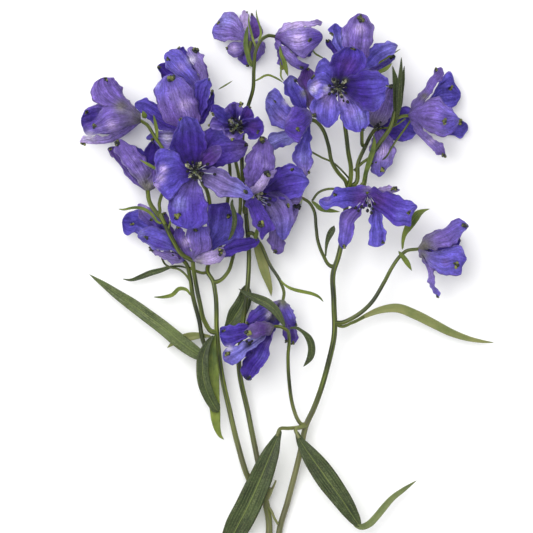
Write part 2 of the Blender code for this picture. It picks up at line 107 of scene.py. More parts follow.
def smooth_rows(knots, spacing):
    """Rows of a smooth curve through the knots, about so far apart."""
    rows_at, places = smooth_curve(knots)
    count = max(4, int(places[-1] / spacing) + 1)
    return rows_at(np.linspace(0.0, places[-1], count))


def colour(code):
    """The linear colour of an sRGB hex value."""
    shares = [int(code[i:i + 2], 16) / 255 for i in (1, 3, 5)]
    linear = [c / 12.92 if c <= 0.04045 else ((c + 0.055) / 1.055) ** 2.4 for c in shares]
    return (*linear, 1.0)


def set_inputs(tree, node, inputs):
    """Sets each input to a value or links it to an output. A node stands for its first output."""
    for name, value in inputs.items():
        if isinstance(value, bpy.types.Node):
            value = value.outputs[0]
        if isinstance(value, bpy.types.NodeSocket):
            tree.links.new(value, node.inputs[name])
        else:
            node.inputs[name].default_value = value


def add_node(tree, kind, inputs=None, **settings):
    """Adds a node with its settings and its inputs."""
    node = tree.nodes.new(kind)
    for name, value in settings.items():
        setattr(node, name, value)
    set_inputs(tree, node, inputs or {})
    return node


def new_material(name):
    """A Principled material, with its tree, its shader and the place on the object it covers."""
    made = bpy.data.materials.new(name)
    made.use_nodes = True
    place = add_node(made.node_tree, "ShaderNodeTexCoord").outputs["Object"]
    return made, made.node_tree, made.node_tree.nodes["Principled BSDF"], place


def open_tree(name, sizes):
    """A Geometry Nodes tree with a geometry input and output, and what its inputs give."""
    tree = bpy.data.node_groups.new(name, "GeometryNodeTree")
    tree.interface.new_socket("Geometry", in_out="INPUT", socket_type="NodeSocketGeometry")
    tree.interface.new_socket("Geometry", in_out="OUTPUT", socket_type="NodeSocketGeometry")
    for label, kind in sizes.items():
        tree.interface.new_socket(label, in_out="INPUT", socket_type=kind)
    return tree, add_node(tree, "NodeGroupInput").outputs


def close_tree(tree, geometry, skin):
    """Ends a tree: its geometry made real, shaded smooth and covered with a skin."""
    plain = add_node(tree, "GeometryNodeRealizeInstances", {0: geometry})
    smooth = add_node(tree, "GeometryNodeSetShadeSmooth", {"Geometry": plain})
    skinned = add_node(tree, "GeometryNodeSetMaterial", {"Geometry": smooth, "Material": skin})
    add_node(tree, "NodeGroupOutput", {"Geometry": skinned})


def add_object(name, data):
    """A new object in the scene."""
    made = bpy.data.objects.new(name, data)
    bpy.context.scene.collection.objects.link(made)
    return made


def grow(name, start_mesh, tree, sizes):
    """The plain mesh object that a tree grows from a start mesh, with its sizes set by name."""
    piece = add_object(name, start_mesh)
    grower = piece.modifiers.new("grow", "NODES")
    grower.node_group = tree
    for socket in tree.interface.items_tree:
        if socket.name in sizes:
            grower[socket.identifier] = sizes[socket.name]
    evaluated = piece.evaluated_get(bpy.context.evaluated_depsgraph_get())
    grown_mesh = bpy.data.meshes.new_from_object(evaluated)
    piece.modifiers.remove(grower)
    piece.data = grown_mesh
    grown_mesh.name = name
    return piece


def run_along(points):
    """How far along their path the points lie."""
    steps = np.linalg.norm(np.diff(points, axis=0), axis=1)
    return np.concatenate(((0.0,), np.cumsum(steps)))


def route_mesh(name, routes):
    """A mesh of loose edges along the routes. Their rows are a place, a half width and an age."""
    rows = np.concatenate(routes)
    edges = []
    start = 0
    for route in routes:
        edges += [(start + i, start + i + 1) for i in range(len(route) - 1)]
        start += len(route)
    mesh = bpy.data.meshes.new(name)
    mesh.from_pydata(rows[:, :3].tolist(), edges, [])
    for number, channel in enumerate(("half_width", "age")):
        values = np.ascontiguousarray(rows[:, 3 + number], dtype=np.float32)
        mesh.attributes.new(channel, "FLOAT", "POINT").data.foreach_set("value", values)
    return mesh


# Fresh plant skin: a waxy green film over ribs of firm fibres, dark olive on old wood and
# yellow-green on the young tops. Its colour runs in streaks along the stem between a dark green
# and a lighter one, which is painted shine. The wax lies thickest on the lowest lengths of the
# stems, which look pale and greyish.
OLD_STEM = "#10150a"
OLD_STEM_PAINTED_SHINE = "#4f5b18"
YOUNG_STEM = "#27330a"
YOUNG_STEM_PAINTED_SHINE = "#8b9a2e"
STEM_WAX = "#85835c"
STEM_WAX_SHARE = 0.55
STEM_WAX_STARTS_AT = -32 * MM
STEM_WAX_FULL_AT = -60 * MM
STEM_STREAKS = (60.0, 9.0, 1.0)
STEM_PATCH = 24.0 * MM
STEM_GRAIN = 0.5 * MM

stem_skin, tree, skin_shader, place = new_material("waxy_green_stem_skin")
along, around, age = (
    add_node(tree, "ShaderNodeAttribute", attribute_name=channel).outputs["Fac"]
    for channel in ("along", "around", "age"))
stretched = add_node(tree, "ShaderNodeCombineXYZ", {"X": along, "Y": around})
drawn_out = add_node(tree, "ShaderNodeVectorMath", {
    0: stretched, 1: STEM_STREAKS}, operation="MULTIPLY")
streaks = add_node(tree, "ShaderNodeTexNoise", {"Vector": drawn_out, "Scale": 1.0, "Detail": 4.0})
patches = add_node(tree, "ShaderNodeTexNoise", {
    "Vector": place, "Scale": 1 / STEM_PATCH, "Detail": 2.0})
streaked = add_node(tree, "ShaderNodeMapRange", {"Value": streaks, "From Min": 0.42, "From Max": 0.72})
patched = add_node(tree, "ShaderNodeMapRange", {
    "Value": patches, "From Min": 0.42, "From Max": 0.6, "To Min": 0.5 * STEM_WAX_SHARE,
    "To Max": STEM_WAX_SHARE})
up_the_spray = add_node(tree, "ShaderNodeSeparateXYZ", {0: place}).outputs["Y"]
low_down = add_node(tree, "ShaderNodeMapRange", {
    "Value": up_the_spray, "From Min": STEM_WAX_STARTS_AT, "From Max": STEM_WAX_FULL_AT})
# Painted shine: streaks of a lighter green over the dark green of the skin.
old_skin = add_node(tree, "ShaderNodeMix", {
    0: streaked, 6: colour(OLD_STEM), 7: colour(OLD_STEM_PAINTED_SHINE)}, data_type="RGBA").outputs[2]
young_skin = add_node(tree, "ShaderNodeMix", {
    0: streaked, 6: colour(YOUNG_STEM), 7: colour(YOUNG_STEM_PAINTED_SHINE)}, data_type="RGBA").outputs[2]
by_age = add_node(tree, "ShaderNodeMix", {
    0: age, 6: young_skin, 7: old_skin}, data_type="RGBA").outputs[2]
wax_share = add_node(tree, "ShaderNodeMath", {0: patched, 1: low_down}, operation="MULTIPLY")
skin_colour = add_node(tree, "ShaderNodeMix", {
    0: wax_share, 6: by_age, 7: colour(STEM_WAX)}, data_type="RGBA").outputs[2]
grain = add_node(tree, "ShaderNodeTexNoise", {"Vector": place, "Scale": 1 / STEM_GRAIN, "Detail": 3.0})
skin_bump = add_node(tree, "ShaderNodeBump", {"Height": grain, "Strength": 0.25, "Distance": 0.1 * MM})
set_inputs(tree, skin_shader, {
    "Base Color": skin_colour, "Normal": skin_bump, "Roughness": 0.42, "IOR": 1.45,
    "Subsurface Weight": 0.08, "Subsurface Scale": 1.0 * MM})

# The tube tree sweeps a ribbed ring along each route. Each row of a route says how wide it is.
tube_tree, given = open_tree("grown_tube", {
    "Sides": "NodeSocketInt",
    "Ribs": "NodeSocketFloat",
    "Rib Depth": "NodeSocketFloat",
    "Skin": "NodeSocketMaterial",
})
routes = add_node(tube_tree, "GeometryNodeMeshToCurve", {"Mesh": given["Geometry"]})
route_place = add_node(tube_tree, "GeometryNodeSplineParameter")
marked_routes = add_node(tube_tree, "GeometryNodeStoreNamedAttribute", {
    "Geometry": routes, "Name": "along", "Value": route_place.outputs["Length"]})
ring = add_node(tube_tree, "GeometryNodeCurvePrimitiveCircle", {
    "Resolution": given["Sides"], "Radius": 1.0})
ring_place = add_node(tube_tree, "GeometryNodeSplineParameter")
marked_ring = add_node(tube_tree, "GeometryNodeStoreNamedAttribute", {
    "Geometry": ring, "Name": "around", "Value": ring_place.outputs["Factor"]})
half_width = add_node(tube_tree, "GeometryNodeInputNamedAttribute", {"Name": "half_width"})
swept = add_node(tube_tree, "GeometryNodeCurveToMesh", {
    "Curve": marked_routes, "Profile Curve": marked_ring, "Scale": half_width, "Fill Caps": True})
turned = add_node(tube_tree, "GeometryNodeInputNamedAttribute", {"Name": "around"})
rib_count = add_node(tube_tree, "ShaderNodeMath", {
    0: given["Ribs"], 1: 2 * math.pi}, operation="MULTIPLY")
rib_angle = add_node(tube_tree, "ShaderNodeMath", {0: turned, 1: rib_count}, operation="MULTIPLY")
rib_wave = add_node(tube_tree, "ShaderNodeMath", {0: rib_angle}, operation="SINE")
rib_height = add_node(tube_tree, "ShaderNodeMath", {
    0: rib_wave, 1: given["Rib Depth"]}, operation="MULTIPLY")
outward = add_node(tube_tree, "GeometryNodeInputNormal")
rib_offset = add_node(tube_tree, "ShaderNodeVectorMath", {
    0: outward, "Scale": rib_height}, operation="SCALE")
ribbed = add_node(tube_tree, "GeometryNodeSetPosition", {"Geometry": swept, "Offset": rib_offset})
close_tree(tube_tree, ribbed, given["Skin"])

STEM_SIDES = 24
STEM_RIBS = 8.0
STEM_RIB_DEPTH = 0.09 * MM
STEM_ROW_SPACING = 1.0 * MM
NODE_SWELLING = 1.3
NODE_LENGTH = 2.6 * MM
YOUNGER_AT_TOP = 0.35

# Each stem has its diameters in mm at the foot and at the top, how old its skin is from 0 to 1,
# the stem that it grows from, and its route up to the floret or to the stem's next fork.
Stem = namedtuple("Stem", "foot_diameter top_diameter age parent route")
STEMS = {
    "cut_stalk": Stem(3.8, 3.2, 0.85, None, (
        (280, 636, 1.95), (277, 600, 1.95), (272.5, 570, 2.1), (269.3, 540, 2.6), (268.4, 516, 3.6),
        (266.5, 507, 4.4))),
    "stem_middle": Stem(2.8, 1.6, 0.75, "cut_stalk", (
        (266, 502, 5), (257, 457, 5), (248.4, 414, 5.5), (239, 365, 7), (243, 323, 8), (247, 293, 10),
        (249, 255, 10), (246, 213, 10), (242, 154, 10), (244, 125, 11), (248, 107, 13), (253, 90, 16),
        (254, 69, 18), (257, 48, 20), (262, 40, 20), (268, 36.5, 19), (275, 37, 16.5))),
    "stem_left": Stem(2.9, 1.6, 0.5, "stem_middle", (
        (258.8, 497, 5), (248, 477, 6), (238, 445, 7), (229.6, 410, 8), (222, 375, 9), (217, 332, 11),
        (215.4, 293, 12), (213, 281, 11), (207.5, 271, 9), (209, 262, 7), (210.5, 230, 7), (208.5, 196, 17),
        (199, 177, 31), (195, 172, 36))),
    "stem_right": Stem(2.9, 2.4, 0.8, "cut_stalk", (
        (277.8, 552, 2.7), (279, 533, 3), (288, 500, 4), (300, 453, 6), (306.5, 424, 7), (313, 410, 8),
        (329, 360, 11), (334, 336, 12), (333.7, 301, 13), (333.5, 271, 13), (337.5, 259, 13),
        (342, 240, 13), (345, 215, 14), (348, 188, 15))),
    "stem_far_left": Stem(2.2, 2.0, 0.5, "stem_left", (
        (212, 331.5, 10), (205, 322, 10.5), (200, 303, 12), (196, 283, 12), (193.3, 266, 14),
        (193, 260, 16))),
    "stem_shade": Stem(2.2, 2.0, 0.9, "stem_left", (
        (216, 358, 7), (205.5, 346, 7), (199, 319, 7.5), (193, 296, 8), (190, 276, 9), (187, 265, 11),
        (184, 261, 13))),
    "pedicel_02": Stem(2.2, 2.2, 0.45, "stem_far_left", (
        (184, 256, 19), (172, 238, 24), (163.5, 221, 24), (156, 212, 22), (149.5, 201, 18),
        (148, 191, 15))),
    "pedicel_01": Stem(1.5, 1.6, 0.5, "pedicel_02", (
        (160.3, 211, 25.5), (159.7, 205, 26), (163, 193, 28), (168, 180, 30), (169, 165, 29),
        (163, 149, 27), (155, 137, 23), (147, 125, 18.5), (141, 121, 16))),
    "pedicel_04": Stem(1.5, 1.5, 0.4, "stem_left", (
        (204, 186, 21), (199, 165, 22), (194, 145, 23), (190, 128, 26))),
    "pedicel_05": Stem(1.6, 1.5, 0.6, "stem_left", (
        (213, 262, 6), (222, 230, 6), (227, 205, 8), (230, 171, 12), (225, 140, 13), (214, 112, 13),
        (206, 97, 15))),
    "pedicel_06": Stem(1.8, 1.6, 0.3, "stem_left", (
        (219, 281, 11), (228, 272, 11), (233, 257, 9), (237, 235, 9), (240.5, 200, 12), (238.6, 175, 14),
        (235.5, 160, 16), (236, 143, 20), (236, 134, 22), (236, 128, 33))),
    "pedicel_07": Stem(1.7, 1.7, 0.4, "stem_middle", (
        (244, 212, 13), (244.5, 206, 16), (247, 198, 21), (250, 194, 24))),
    "pedicel_08": Stem(1.8, 1.8, 0.6, "stem_right", (
        (345, 181, 16), (338, 173, 17), (332, 163, 18), (328, 145, 19), (322, 129, 20), (315, 121.5, 20),
        (310, 120, 20))),
    "pedicel_09": Stem(2.2, 1.8, 0.35, "stem_right", (
        (350, 181, 17), (350.8, 170, 18), (348, 153, 22), (345.7, 134, 27), (342, 110, 31), (338, 89, 36))),
    "pedicel_13": Stem(2.2, 1.8, 0.25, "stem_right", (
        (355, 184, 14), (358, 163, 14), (365, 147, 13), (371, 135, 12), (376, 128, 13))),
    "pedicel_10": Stem(1.7, 1.7, 0.5, "pedicel_13", (
        (362, 145, 17), (361.6, 136, 19), (363, 110, 19), (360, 85, 19), (357, 72, 21))),
    "bud_stem": Stem(2.2, 2.2, 0.6, "stem_right", (
        (361, 189, 14), (366, 172, 15), (371, 157, 17), (379, 144, 19), (390, 127.6, 19.5),
        (394.5, 112, 19.5))),
    "pedicel_14": Stem(1.6, 1.6, 0.4, "bud_stem", (
        (397.6, 118.3, 19), (400.5, 117, 19), (408, 116, 17))),
    "pedicel_16": Stem(2.2, 1.6, 0.6, "stem_right", (
        (339, 323, 12), (354, 317, 12), (369, 305, 13), (384, 282, 14), (392, 267, 15), (399, 257, 15),
        (406, 251, 16), (418, 249, 16))),
    "pedicel_17": Stem(1.8, 1.5, 0.55, "stem_right", (
        (301.5, 424, 8), (297, 418, 9), (294, 410, 9), (289, 380, 12), (288, 356, 15), (289, 337, 20),
        (287, 330, 24), (282, 327, 25), (274, 326, 22))),
    "pedicel_18": Stem(1.7, 1.5, 0.6, "stem_middle", (
        (251.5, 233, 11), (259, 242, 10), (270, 265, 11), (281, 283, 13), (284, 293, 13.3),
        (283, 300, 13))),
    "pedicel_21": Stem(1.7, 1.4, 0.7, "stem_right", (
        (330.5, 266, 13), (323, 255, 13), (317.6, 240, 13), (316, 227, 13), (314, 211, 13),
        (309, 202.5, 13), (302, 198, 13))),
}


def stem_rows(stem, foot):
    """The rows of a stem's smooth route, from a point inside its parent, with its widths."""
    points = [spot(*place) for place in stem.route]
    if foot is not None:
        points.insert(0, foot)
    rows = smooth_rows(points, STEM_ROW_SPACING)
    run = run_along(rows)
    share = run / run[-1]
    half = (stem.foot_diameter * (1 - share) + stem.top_diameter * share) / 2 * MM
    if foot is not None:
        half *= 1 + (NODE_SWELLING - 1) * np.exp(-(run / NODE_LENGTH) ** 2)
    ages = stem.age * (1 - YOUNGER_AT_TOP * share)
    return np.column_stack((rows, half, ages))


stem_paths = {}
for stem_name, stem in STEMS.items():
    foot = None
    if stem.parent:
        parent_rows = stem_paths[stem.parent][:, :3]
        away = np.linalg.norm(parent_rows - spot(*stem.route[0]), axis=1)
        foot = parent_rows[np.argmin(away)]
    stem_paths[stem_name] = stem_rows(stem, foot)
    stem_mesh = route_mesh(stem_name, [stem_paths[stem_name]])
    piece = grow(stem_name + "_stem", stem_mesh, tube_tree, {
        "Sides": STEM_SIDES, "Ribs": STEM_RIBS, "Rib Depth": STEM_RIB_DEPTH, "Skin": stem_skin})
    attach(piece, "root")
    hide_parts(stem_name)


# The petioles: thin stalks that join the leaves, the bracts and some of the florets to the
# stems. They are the same grown green skin as the stems, only one or two millimetres thick.

PETIOLE_SIDES = 14
PETIOLE_RIBS = 5.0
PETIOLE_RIB_DEPTH = 0.03 * MM
PETIOLES = {
    "shade_link": Stem(1.2, 1.0, 0.4, None, (
        (192, 291, 8.3), (190, 281, 8.2), (185, 274, 8), (178, 269, 7.4), (171, 267.5, 7), (165, 264, 7),
        (162, 258, 8))),
    "left_link": Stem(1.6, 1.4, 0.5, None, (
        (208, 272, 9), (204, 273, 9.4), (196, 271, 10), (190, 268, 11))),
    "floret_12_link": Stem(1.5, 1.6, 0.4, None, (
        (254, 67, 18), (251, 62, 16.5), (249, 54, 14.5), (251, 42, 13))),
    "floret_15_link": Stem(2.4, 2.0, 0.5, None, (
        (348, 189, 15), (354, 189, 18), (361, 191, 22.5), (368, 194, 27))),
    "fork_link": Stem(2.4, 2.2, 0.6, None, (
        (346, 200, 14.5), (351, 191, 15), (358, 189, 14.5), (363, 184, 14.2))),
    "bottom_left_petiole": Stem(2.0, 1.8, 0.2, None, (
        (306, 425, 7.4), (299, 427, 9), (288, 428, 11.5), (280, 428.5, 13), (277, 436, 13.8))),
    "bottom_right_petiole": Stem(2.0, 1.8, 0.2, None, (
        (306, 426, 7.4), (300, 427.5, 10), (295.5, 429, 12.6), (299, 438, 13.8))),
    "right_long_petiole": Stem(1.5, 1.4, 0.5, None, (
        (334.5, 324, 12.4), (342, 326.5, 12), (352, 322.5, 11.4), (364, 316.5, 10.8))),
    "crossing_line": Stem(1.0, 0.9, 0.6, None, (
        (311, 152, 16), (322, 158, 15.5), (333, 163, 15), (343, 172, 15), (350, 180, 14.5))),
    "top_line": Stem(0.8, 0.7, 0.3, None, (
        (389, 129, 18.5), (398, 124, 18), (405, 119, 17.5))),
    "fork_line": Stem(1.5, 1.4, 0.4, None, (
        (354, 171, 14), (361, 164, 14.6), (370, 157.5, 16))),
    "arc_line": Stem(1.3, 1.2, 0.6, None, (
        (347, 190, 14.5), (335, 189, 14), (326, 189.5, 13.5), (318, 193, 13), (312, 201, 13))),
    "right_floret_line": Stem(1.1, 0.9, 0.35, None, (
        (410, 121, 15), (404, 130, 15), (398, 138, 15.5), (390, 150, 16), (386, 157, 16), (380, 161, 15.6),
        (371, 164, 15))),
    "bud_side_line": Stem(1.1, 0.9, 0.4, None, (
        (390, 128, 18.4), (380, 129, 17.5), (375, 131, 16), (371.5, 136, 13.5))),
    "stub": Stem(2.4, 2.6, 0.5, None, (
        (266, 500, 5.5), (268, 496, 6.6), (270, 491, 8), (271, 488, 8.6))),
    "stub_tip": Stem(1.4, 0.9, 0.9, None, (
        (270, 492, 8), (273, 487, 8.6), (276, 480, 9))),
    "lower_stub": Stem(1.3, 1.2, 0.5, None, (
        (267, 505, 5), (271, 510, 6), (274, 517, 6.6), (278, 524, 6.4))),
    "left_node_stub": Stem(2.4, 1.8, 0.15, None, (
        (161, 214, 24.6), (163, 219, 25.2), (165.5, 224, 25))),
    "young_stub": Stem(1.4, 0.9, 0.1, None, (
        (168, 231, 24.6), (171, 222, 25.4), (173, 218, 25.6))),
}

petiole_paths = [stem_rows(petiole, None) for petiole in PETIOLES.values()]
petioles = grow("petioles", route_mesh("petioles", petiole_paths), tube_tree, {
    "Sides": PETIOLE_SIDES, "Ribs": PETIOLE_RIBS, "Rib Depth": PETIOLE_RIB_DEPTH, "Skin": stem_skin})
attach(petioles, "root")


# The leaves: long lance-shaped blades of thin firm tissue, keeled along a pale midrib, with
# parallel veins and a soft wave along the margins. Each grows from its own petiole at a node.

def closed_sheet(grid, thickness, inner_side):
    """A closed thin sheet about a grid of points: its points, faces, fronts and flat places.

    The first and last rows of the grid are drawn together to one point. The front is the side
    that faces along inner_side. A flat place is 0 to 1 across and 0 to 1 along.
    """
    rows, columns = grid.shape[:2]
    along_grid = np.gradient(grid, axis=0)
    across_grid = np.gradient(grid, axis=1)
    normals = np.cross(across_grid, along_grid)
    normals /= np.maximum(np.linalg.norm(normals, axis=2, keepdims=True), 1e-12)
    if np.sum(normals[1:-1] @ np.asarray(inner_side)) < 0:
        normals = -normals
    across = np.linspace(-1.0, 1.0, columns)
    half = thickness / 2 * np.sqrt(np.clip(1 - across ** 8, 0, 1))[None, :, None]
    front = (grid + normals * half)[1:-1]
    back = (grid - normals * half)[1:-1, -2:0:-1]
    rings = np.concatenate((front, back), axis=1)
    ring_size = rings.shape[1]
    ends = (grid[0].mean(axis=0), grid[-1].mean(axis=0))
    points = np.concatenate((ends[0][None], rings.reshape(-1, 3), ends[1][None]))
    ring_across = np.concatenate((across, across[-2:0:-1])) / 2 + 0.5
    along = np.linspace(0.0, 1.0, rows)
    flat = np.empty((len(points), 2))
    flat[0] = (0.5, 0.0)
    flat[-1] = (0.5, 1.0)
    flat[1:-1, 0] = np.tile(ring_across, rows - 2)
    flat[1:-1, 1] = np.repeat(along[1:-1], ring_size)
    number = 1 + np.arange((rows - 2) * ring_size).reshape(rows - 2, ring_size)
    following = np.roll(number, -1, axis=1)
    quads = np.stack((number[:-1], following[:-1], following[1:], number[1:]), axis=2)
    faces = [tuple(face) for face in quads.reshape(-1, 4).tolist()]
    faces += [(0, b, a) for a, b in zip(number[0].tolist(), following[0].tolist())]
    last = len(points) - 1
    faces += [(last, a, b) for a, b in zip(number[-1].tolist(), following[-1].tolist())]
    is_front = np.arange(ring_size) < columns - 1
    fronts = np.concatenate((np.tile(is_front, rows - 3), is_front, is_front))
    middle = quads[(rows - 3) // 2, columns // 2]
    corners = points[middle]
    facing = np.cross(corners[1] - corners[0], corners[3] - corners[0])
    if facing @ normals[(rows - 3) // 2 + 1, columns // 2] < 0:
        faces = [face[::-1] for face in faces]
    return points, faces, fronts, flat, normals


def sheet_object(name, sheets, materials):
    """One object of several closed sheets, with flat places and any colours of their corners."""
    points = np.concatenate([sheet["points"] for sheet in sheets])
    faces = []
    start = 0
    for sheet in sheets:
        faces += [tuple(corner + start for corner in face) for face in sheet["faces"]]
        start += len(sheet["points"])
    mesh = bpy.data.meshes.new(name)
    mesh.from_pydata(points.tolist(), [], faces)
    corner_points = np.empty(len(mesh.loops), dtype=np.int32)
    mesh.loops.foreach_get("vertex_index", corner_points)
    flat = np.concatenate([sheet["flat"] for sheet in sheets])
    flat_map = mesh.uv_layers.new(name="blade")
    flat_map.data.foreach_set("uv", flat[corner_points].astype(np.float32).ravel())
    fronts = np.concatenate([sheet["fronts"] for sheet in sheets])
    if "front_colours" in sheets[0]:
        sizes = np.empty(len(mesh.polygons), dtype=np.int32)
        mesh.polygons.foreach_get("loop_total", sizes)
        corner_fronts = np.repeat(fronts, sizes)[:, None]
        front_colours = np.concatenate([sheet["front_colours"] for sheet in sheets])
        back_colours = np.concatenate([sheet["back_colours"] for sheet in sheets])
        colours = np.where(corner_fronts, front_colours[corner_points], back_colours[corner_points])
        colours = np.column_stack((colours, np.ones(len(colours)))).astype(np.float32)
        layer = mesh.attributes.new("tissue", "FLOAT_COLOR", "CORNER")
        layer.data.foreach_set("color", colours.ravel())
    for material in materials:
        mesh.materials.append(material)
    if len(materials) > 1:
        mesh.polygons.foreach_set("material_index", np.where(fronts, 0, 1).astype(np.int32))
    mesh.shade_smooth()
    return add_object(name, mesh)


# Leaf tissue: dark green under a thin grey bloom, with a raised pale midrib and veins that run
# the leaf's length. The wax gives a soft broad shine, which is also painted into the colour as a
# lighter green in broad patches. It lies in specks, which look like grey dust, and the veins
# catch the light as fine lines. The underside is paler.
LEAF_GREEN = "#1a260e"
LEAF_GREEN_PAINTED_SHINE = "#33421a"
LEAF_BLOOM = "#7c8756"
LEAF_VEIN = "#7c8a44"
LEAF_VEIN_COUNT = 9.0
LEAF_STREAKS = (26.0, 3.0, 1.0)
LEAF_PATCH = 11.0 * MM
LEAF_SPECK = 0.8 * MM
LEAF_CELL = 0.45 * MM


def leaf_material(name, ground, painted_shine_green, bloom_share):
    """Leaf tissue between a green and a lighter green of painted shine in patches, with some grey bloom, a
    pale midrib and parallel veins.
    """
    made, tree, shader, place = new_material(name)
    flat_place = add_node(tree, "ShaderNodeUVMap", uv_map="blade")
    parts = add_node(tree, "ShaderNodeSeparateXYZ", {0: flat_place})
    patches = add_node(tree, "ShaderNodeTexNoise", {
        "Vector": place, "Scale": 1 / LEAF_PATCH, "Detail": 4.0, "Roughness": 0.6})
    patched = add_node(tree, "ShaderNodeMapRange", {
        "Value": patches, "From Min": 0.34, "From Max": 0.7})
    streak_place = add_node(tree, "ShaderNodeVectorMath", {
        0: flat_place, 1: LEAF_STREAKS}, operation="MULTIPLY")
    streaks = add_node(tree, "ShaderNodeTexNoise", {
        "Vector": streak_place, "Scale": 1.0, "Detail": 4.0})
    streaked = add_node(tree, "ShaderNodeMapRange", {
        "Value": streaks, "From Min": 0.4, "From Max": 0.7})
    # Painted shine: a lighter green in broad patches over the leaf's own green.
    green = add_node(tree, "ShaderNodeMix", {
        0: patched, 6: colour(ground), 7: colour(painted_shine_green)}, data_type="RGBA").outputs[2]
    specks = add_node(tree, "ShaderNodeTexNoise", {
        "Vector": place, "Scale": 1 / LEAF_SPECK, "Detail": 3.0})
    specked = add_node(tree, "ShaderNodeMapRange", {
        "Value": specks, "From Min": 0.4, "From Max": 0.62, "To Min": 0.25 * bloom_share,
        "To Max": 1.3 * bloom_share})
    bloomed = add_node(tree, "ShaderNodeMath", {0: streaked, 1: specked}, operation="MULTIPLY")
    greyed = add_node(tree, "ShaderNodeMix", {
        0: bloomed, 6: green, 7: colour(LEAF_BLOOM)}, data_type="RGBA").outputs[2]
    spread = add_node(tree, "ShaderNodeMath", {
        0: parts.outputs["X"], 1: LEAF_VEIN_COUNT}, operation="MULTIPLY")
    wavering = add_node(tree, "ShaderNodeMath", {
        0: streaks, 1: 0.25, 2: spread}, operation="MULTIPLY_ADD")
    vein_place = add_node(tree, "ShaderNodeMath", {0: wavering, 1: 0.5}, operation="PINGPONG")
    veins = add_node(tree, "ShaderNodeMapRange", {
        "Value": vein_place, "From Min": 0.0, "From Max": 0.12, "To Min": 1.0,
        "To Max": 0.0}, interpolation_type="SMOOTHSTEP")
    from_middle = add_node(tree, "ShaderNodeMath", {
        0: parts.outputs["X"], 1: 0.5}, operation="SUBTRACT")
    off_middle = add_node(tree, "ShaderNodeMath", {0: from_middle}, operation="ABSOLUTE")
    midrib = add_node(tree, "ShaderNodeMapRange", {
        "Value": off_middle, "From Min": 0.008, "From Max": 0.034, "To Min": 1.0,
        "To Max": 0.0}, interpolation_type="SMOOTHSTEP")
    vein_share = add_node(tree, "ShaderNodeMath", {0: veins, 1: 0.3}, operation="MULTIPLY")
    all_ribs = add_node(tree, "ShaderNodeMath", {0: vein_share, 1: midrib}, operation="MAXIMUM")
    rib_share = add_node(tree, "ShaderNodeMath", {0: all_ribs, 1: 0.6}, operation="MULTIPLY")
    ribbed = add_node(tree, "ShaderNodeMix", {
        0: rib_share, 6: greyed, 7: colour(LEAF_VEIN)}, data_type="RGBA").outputs[2]
    cells = add_node(tree, "ShaderNodeTexVoronoi", {"Vector": place, "Scale": 1 / LEAF_CELL})
    relief = add_node(tree, "ShaderNodeMath", {
        0: cells.outputs["Distance"], 1: 0.3, 2: all_ribs}, operation="MULTIPLY_ADD")
    bump = add_node(tree, "ShaderNodeBump", {"Height": relief, "Strength": 0.6, "Distance": 0.3 * MM})
    roughness = add_node(tree, "ShaderNodeMapRange", {"Value": patches, "To Min": 0.42, "To Max": 0.6})
    set_inputs(tree, shader, {
        "Base Color": ribbed, "Normal": bump, "Roughness": roughness, "IOR": 1.42,
        "Subsurface Weight": 0.06, "Subsurface Scale": 0.8 * MM})
    return made


leaf_tissue = leaf_material("bloomed_leaf_tissue", LEAF_GREEN, LEAF_GREEN_PAINTED_SHINE, 0.45)
tan_leaf_tissue = leaf_material("ageing_leaf_tissue", "#68723c", "#8f8f58", 0.6)
grey_leaf_tissue = leaf_material("greyish_leaf_tissue", "#2f3d1c", "#566534", 0.9)
young_leaf_tissue = leaf_material("young_leaf_tissue", "#3f521b", "#7f8d33", 0.15)
leaf_underside = leaf_material("pale_leaf_underside", "#4f5c34", "#7b8650", 0.5)

LEAF_THICKNESS = 0.45 * MM
LEAF_KEEL = 0.3
LEAF_ROW_SPACING = 1.1 * MM
LEAF_COLUMNS = 15
LEAF_WAVE = 0.45 * MM
LEAF_WAVE_LENGTH = 15 * MM
LEAF_LEAST_WIDTH = 0.1 * MM
FULL_WAVE_HALF_WIDTH = 3 * MM
SECOND_WAVE_BEAT = 2.3
SECOND_WAVE_SHARE = 0.5
KEEL_SOFTNESS = 0.02
KEEL_DEPTH = 0.14


def leaf_sheet(knots, keel, wave, seed):
    """A leaf as a closed sheet. Its knots are places with the leaf's width there, in drawing steps."""
    rows = smooth_rows(
        [(*spot(*knot[:3]), knot[3] * DRAWING_STEP) for knot in knots], LEAF_ROW_SPACING)
    middle = rows[:, :3]
    half = np.maximum(rows[:, 3], LEAF_LEAST_WIDTH) / 2
    along = np.gradient(middle, axis=0)
    along /= np.linalg.norm(along, axis=1, keepdims=True)
    across = np.cross(along, (0.0, 0.0, 1.0))
    across /= np.linalg.norm(across, axis=1, keepdims=True)
    up = np.cross(across, along)
    run = run_along(middle)
    chance = np.random.default_rng(seed)
    phases = chance.uniform(0, 2 * math.pi, 4)
    side = np.linspace(-1.0, 1.0, LEAF_COLUMNS)
    lift = keel * (np.sqrt(side ** 2 + KEEL_SOFTNESS) - KEEL_DEPTH)[None, :] * half[:, None]
    turn = 2 * math.pi * run / LEAF_WAVE_LENGTH
    reach = np.clip(half / FULL_WAVE_HALF_WIDTH, 0, 1.3)
    for number, sign in enumerate((-1, 1)):
        margin = np.clip(side * sign, 0, 1)[None, :] ** 3
        second_wave = np.sin(SECOND_WAVE_BEAT * turn + phases[number + 2])
        ripple = np.sin(turn + phases[number]) + SECOND_WAVE_SHARE * second_wave
        lift = lift + wave * (ripple * reach)[:, None] * margin
    grid = (
        middle[:, None, :]
        + across[:, None, :] * (side[None, :] * half[:, None])[:, :, None]
        + up[:, None, :] * lift[:, :, None]
    )
    points, faces, fronts, flat, _ = closed_sheet(grid, LEAF_THICKNESS, (0, 0, 1))
    return {"points": points, "faces": faces, "fronts": fronts, "flat": flat}


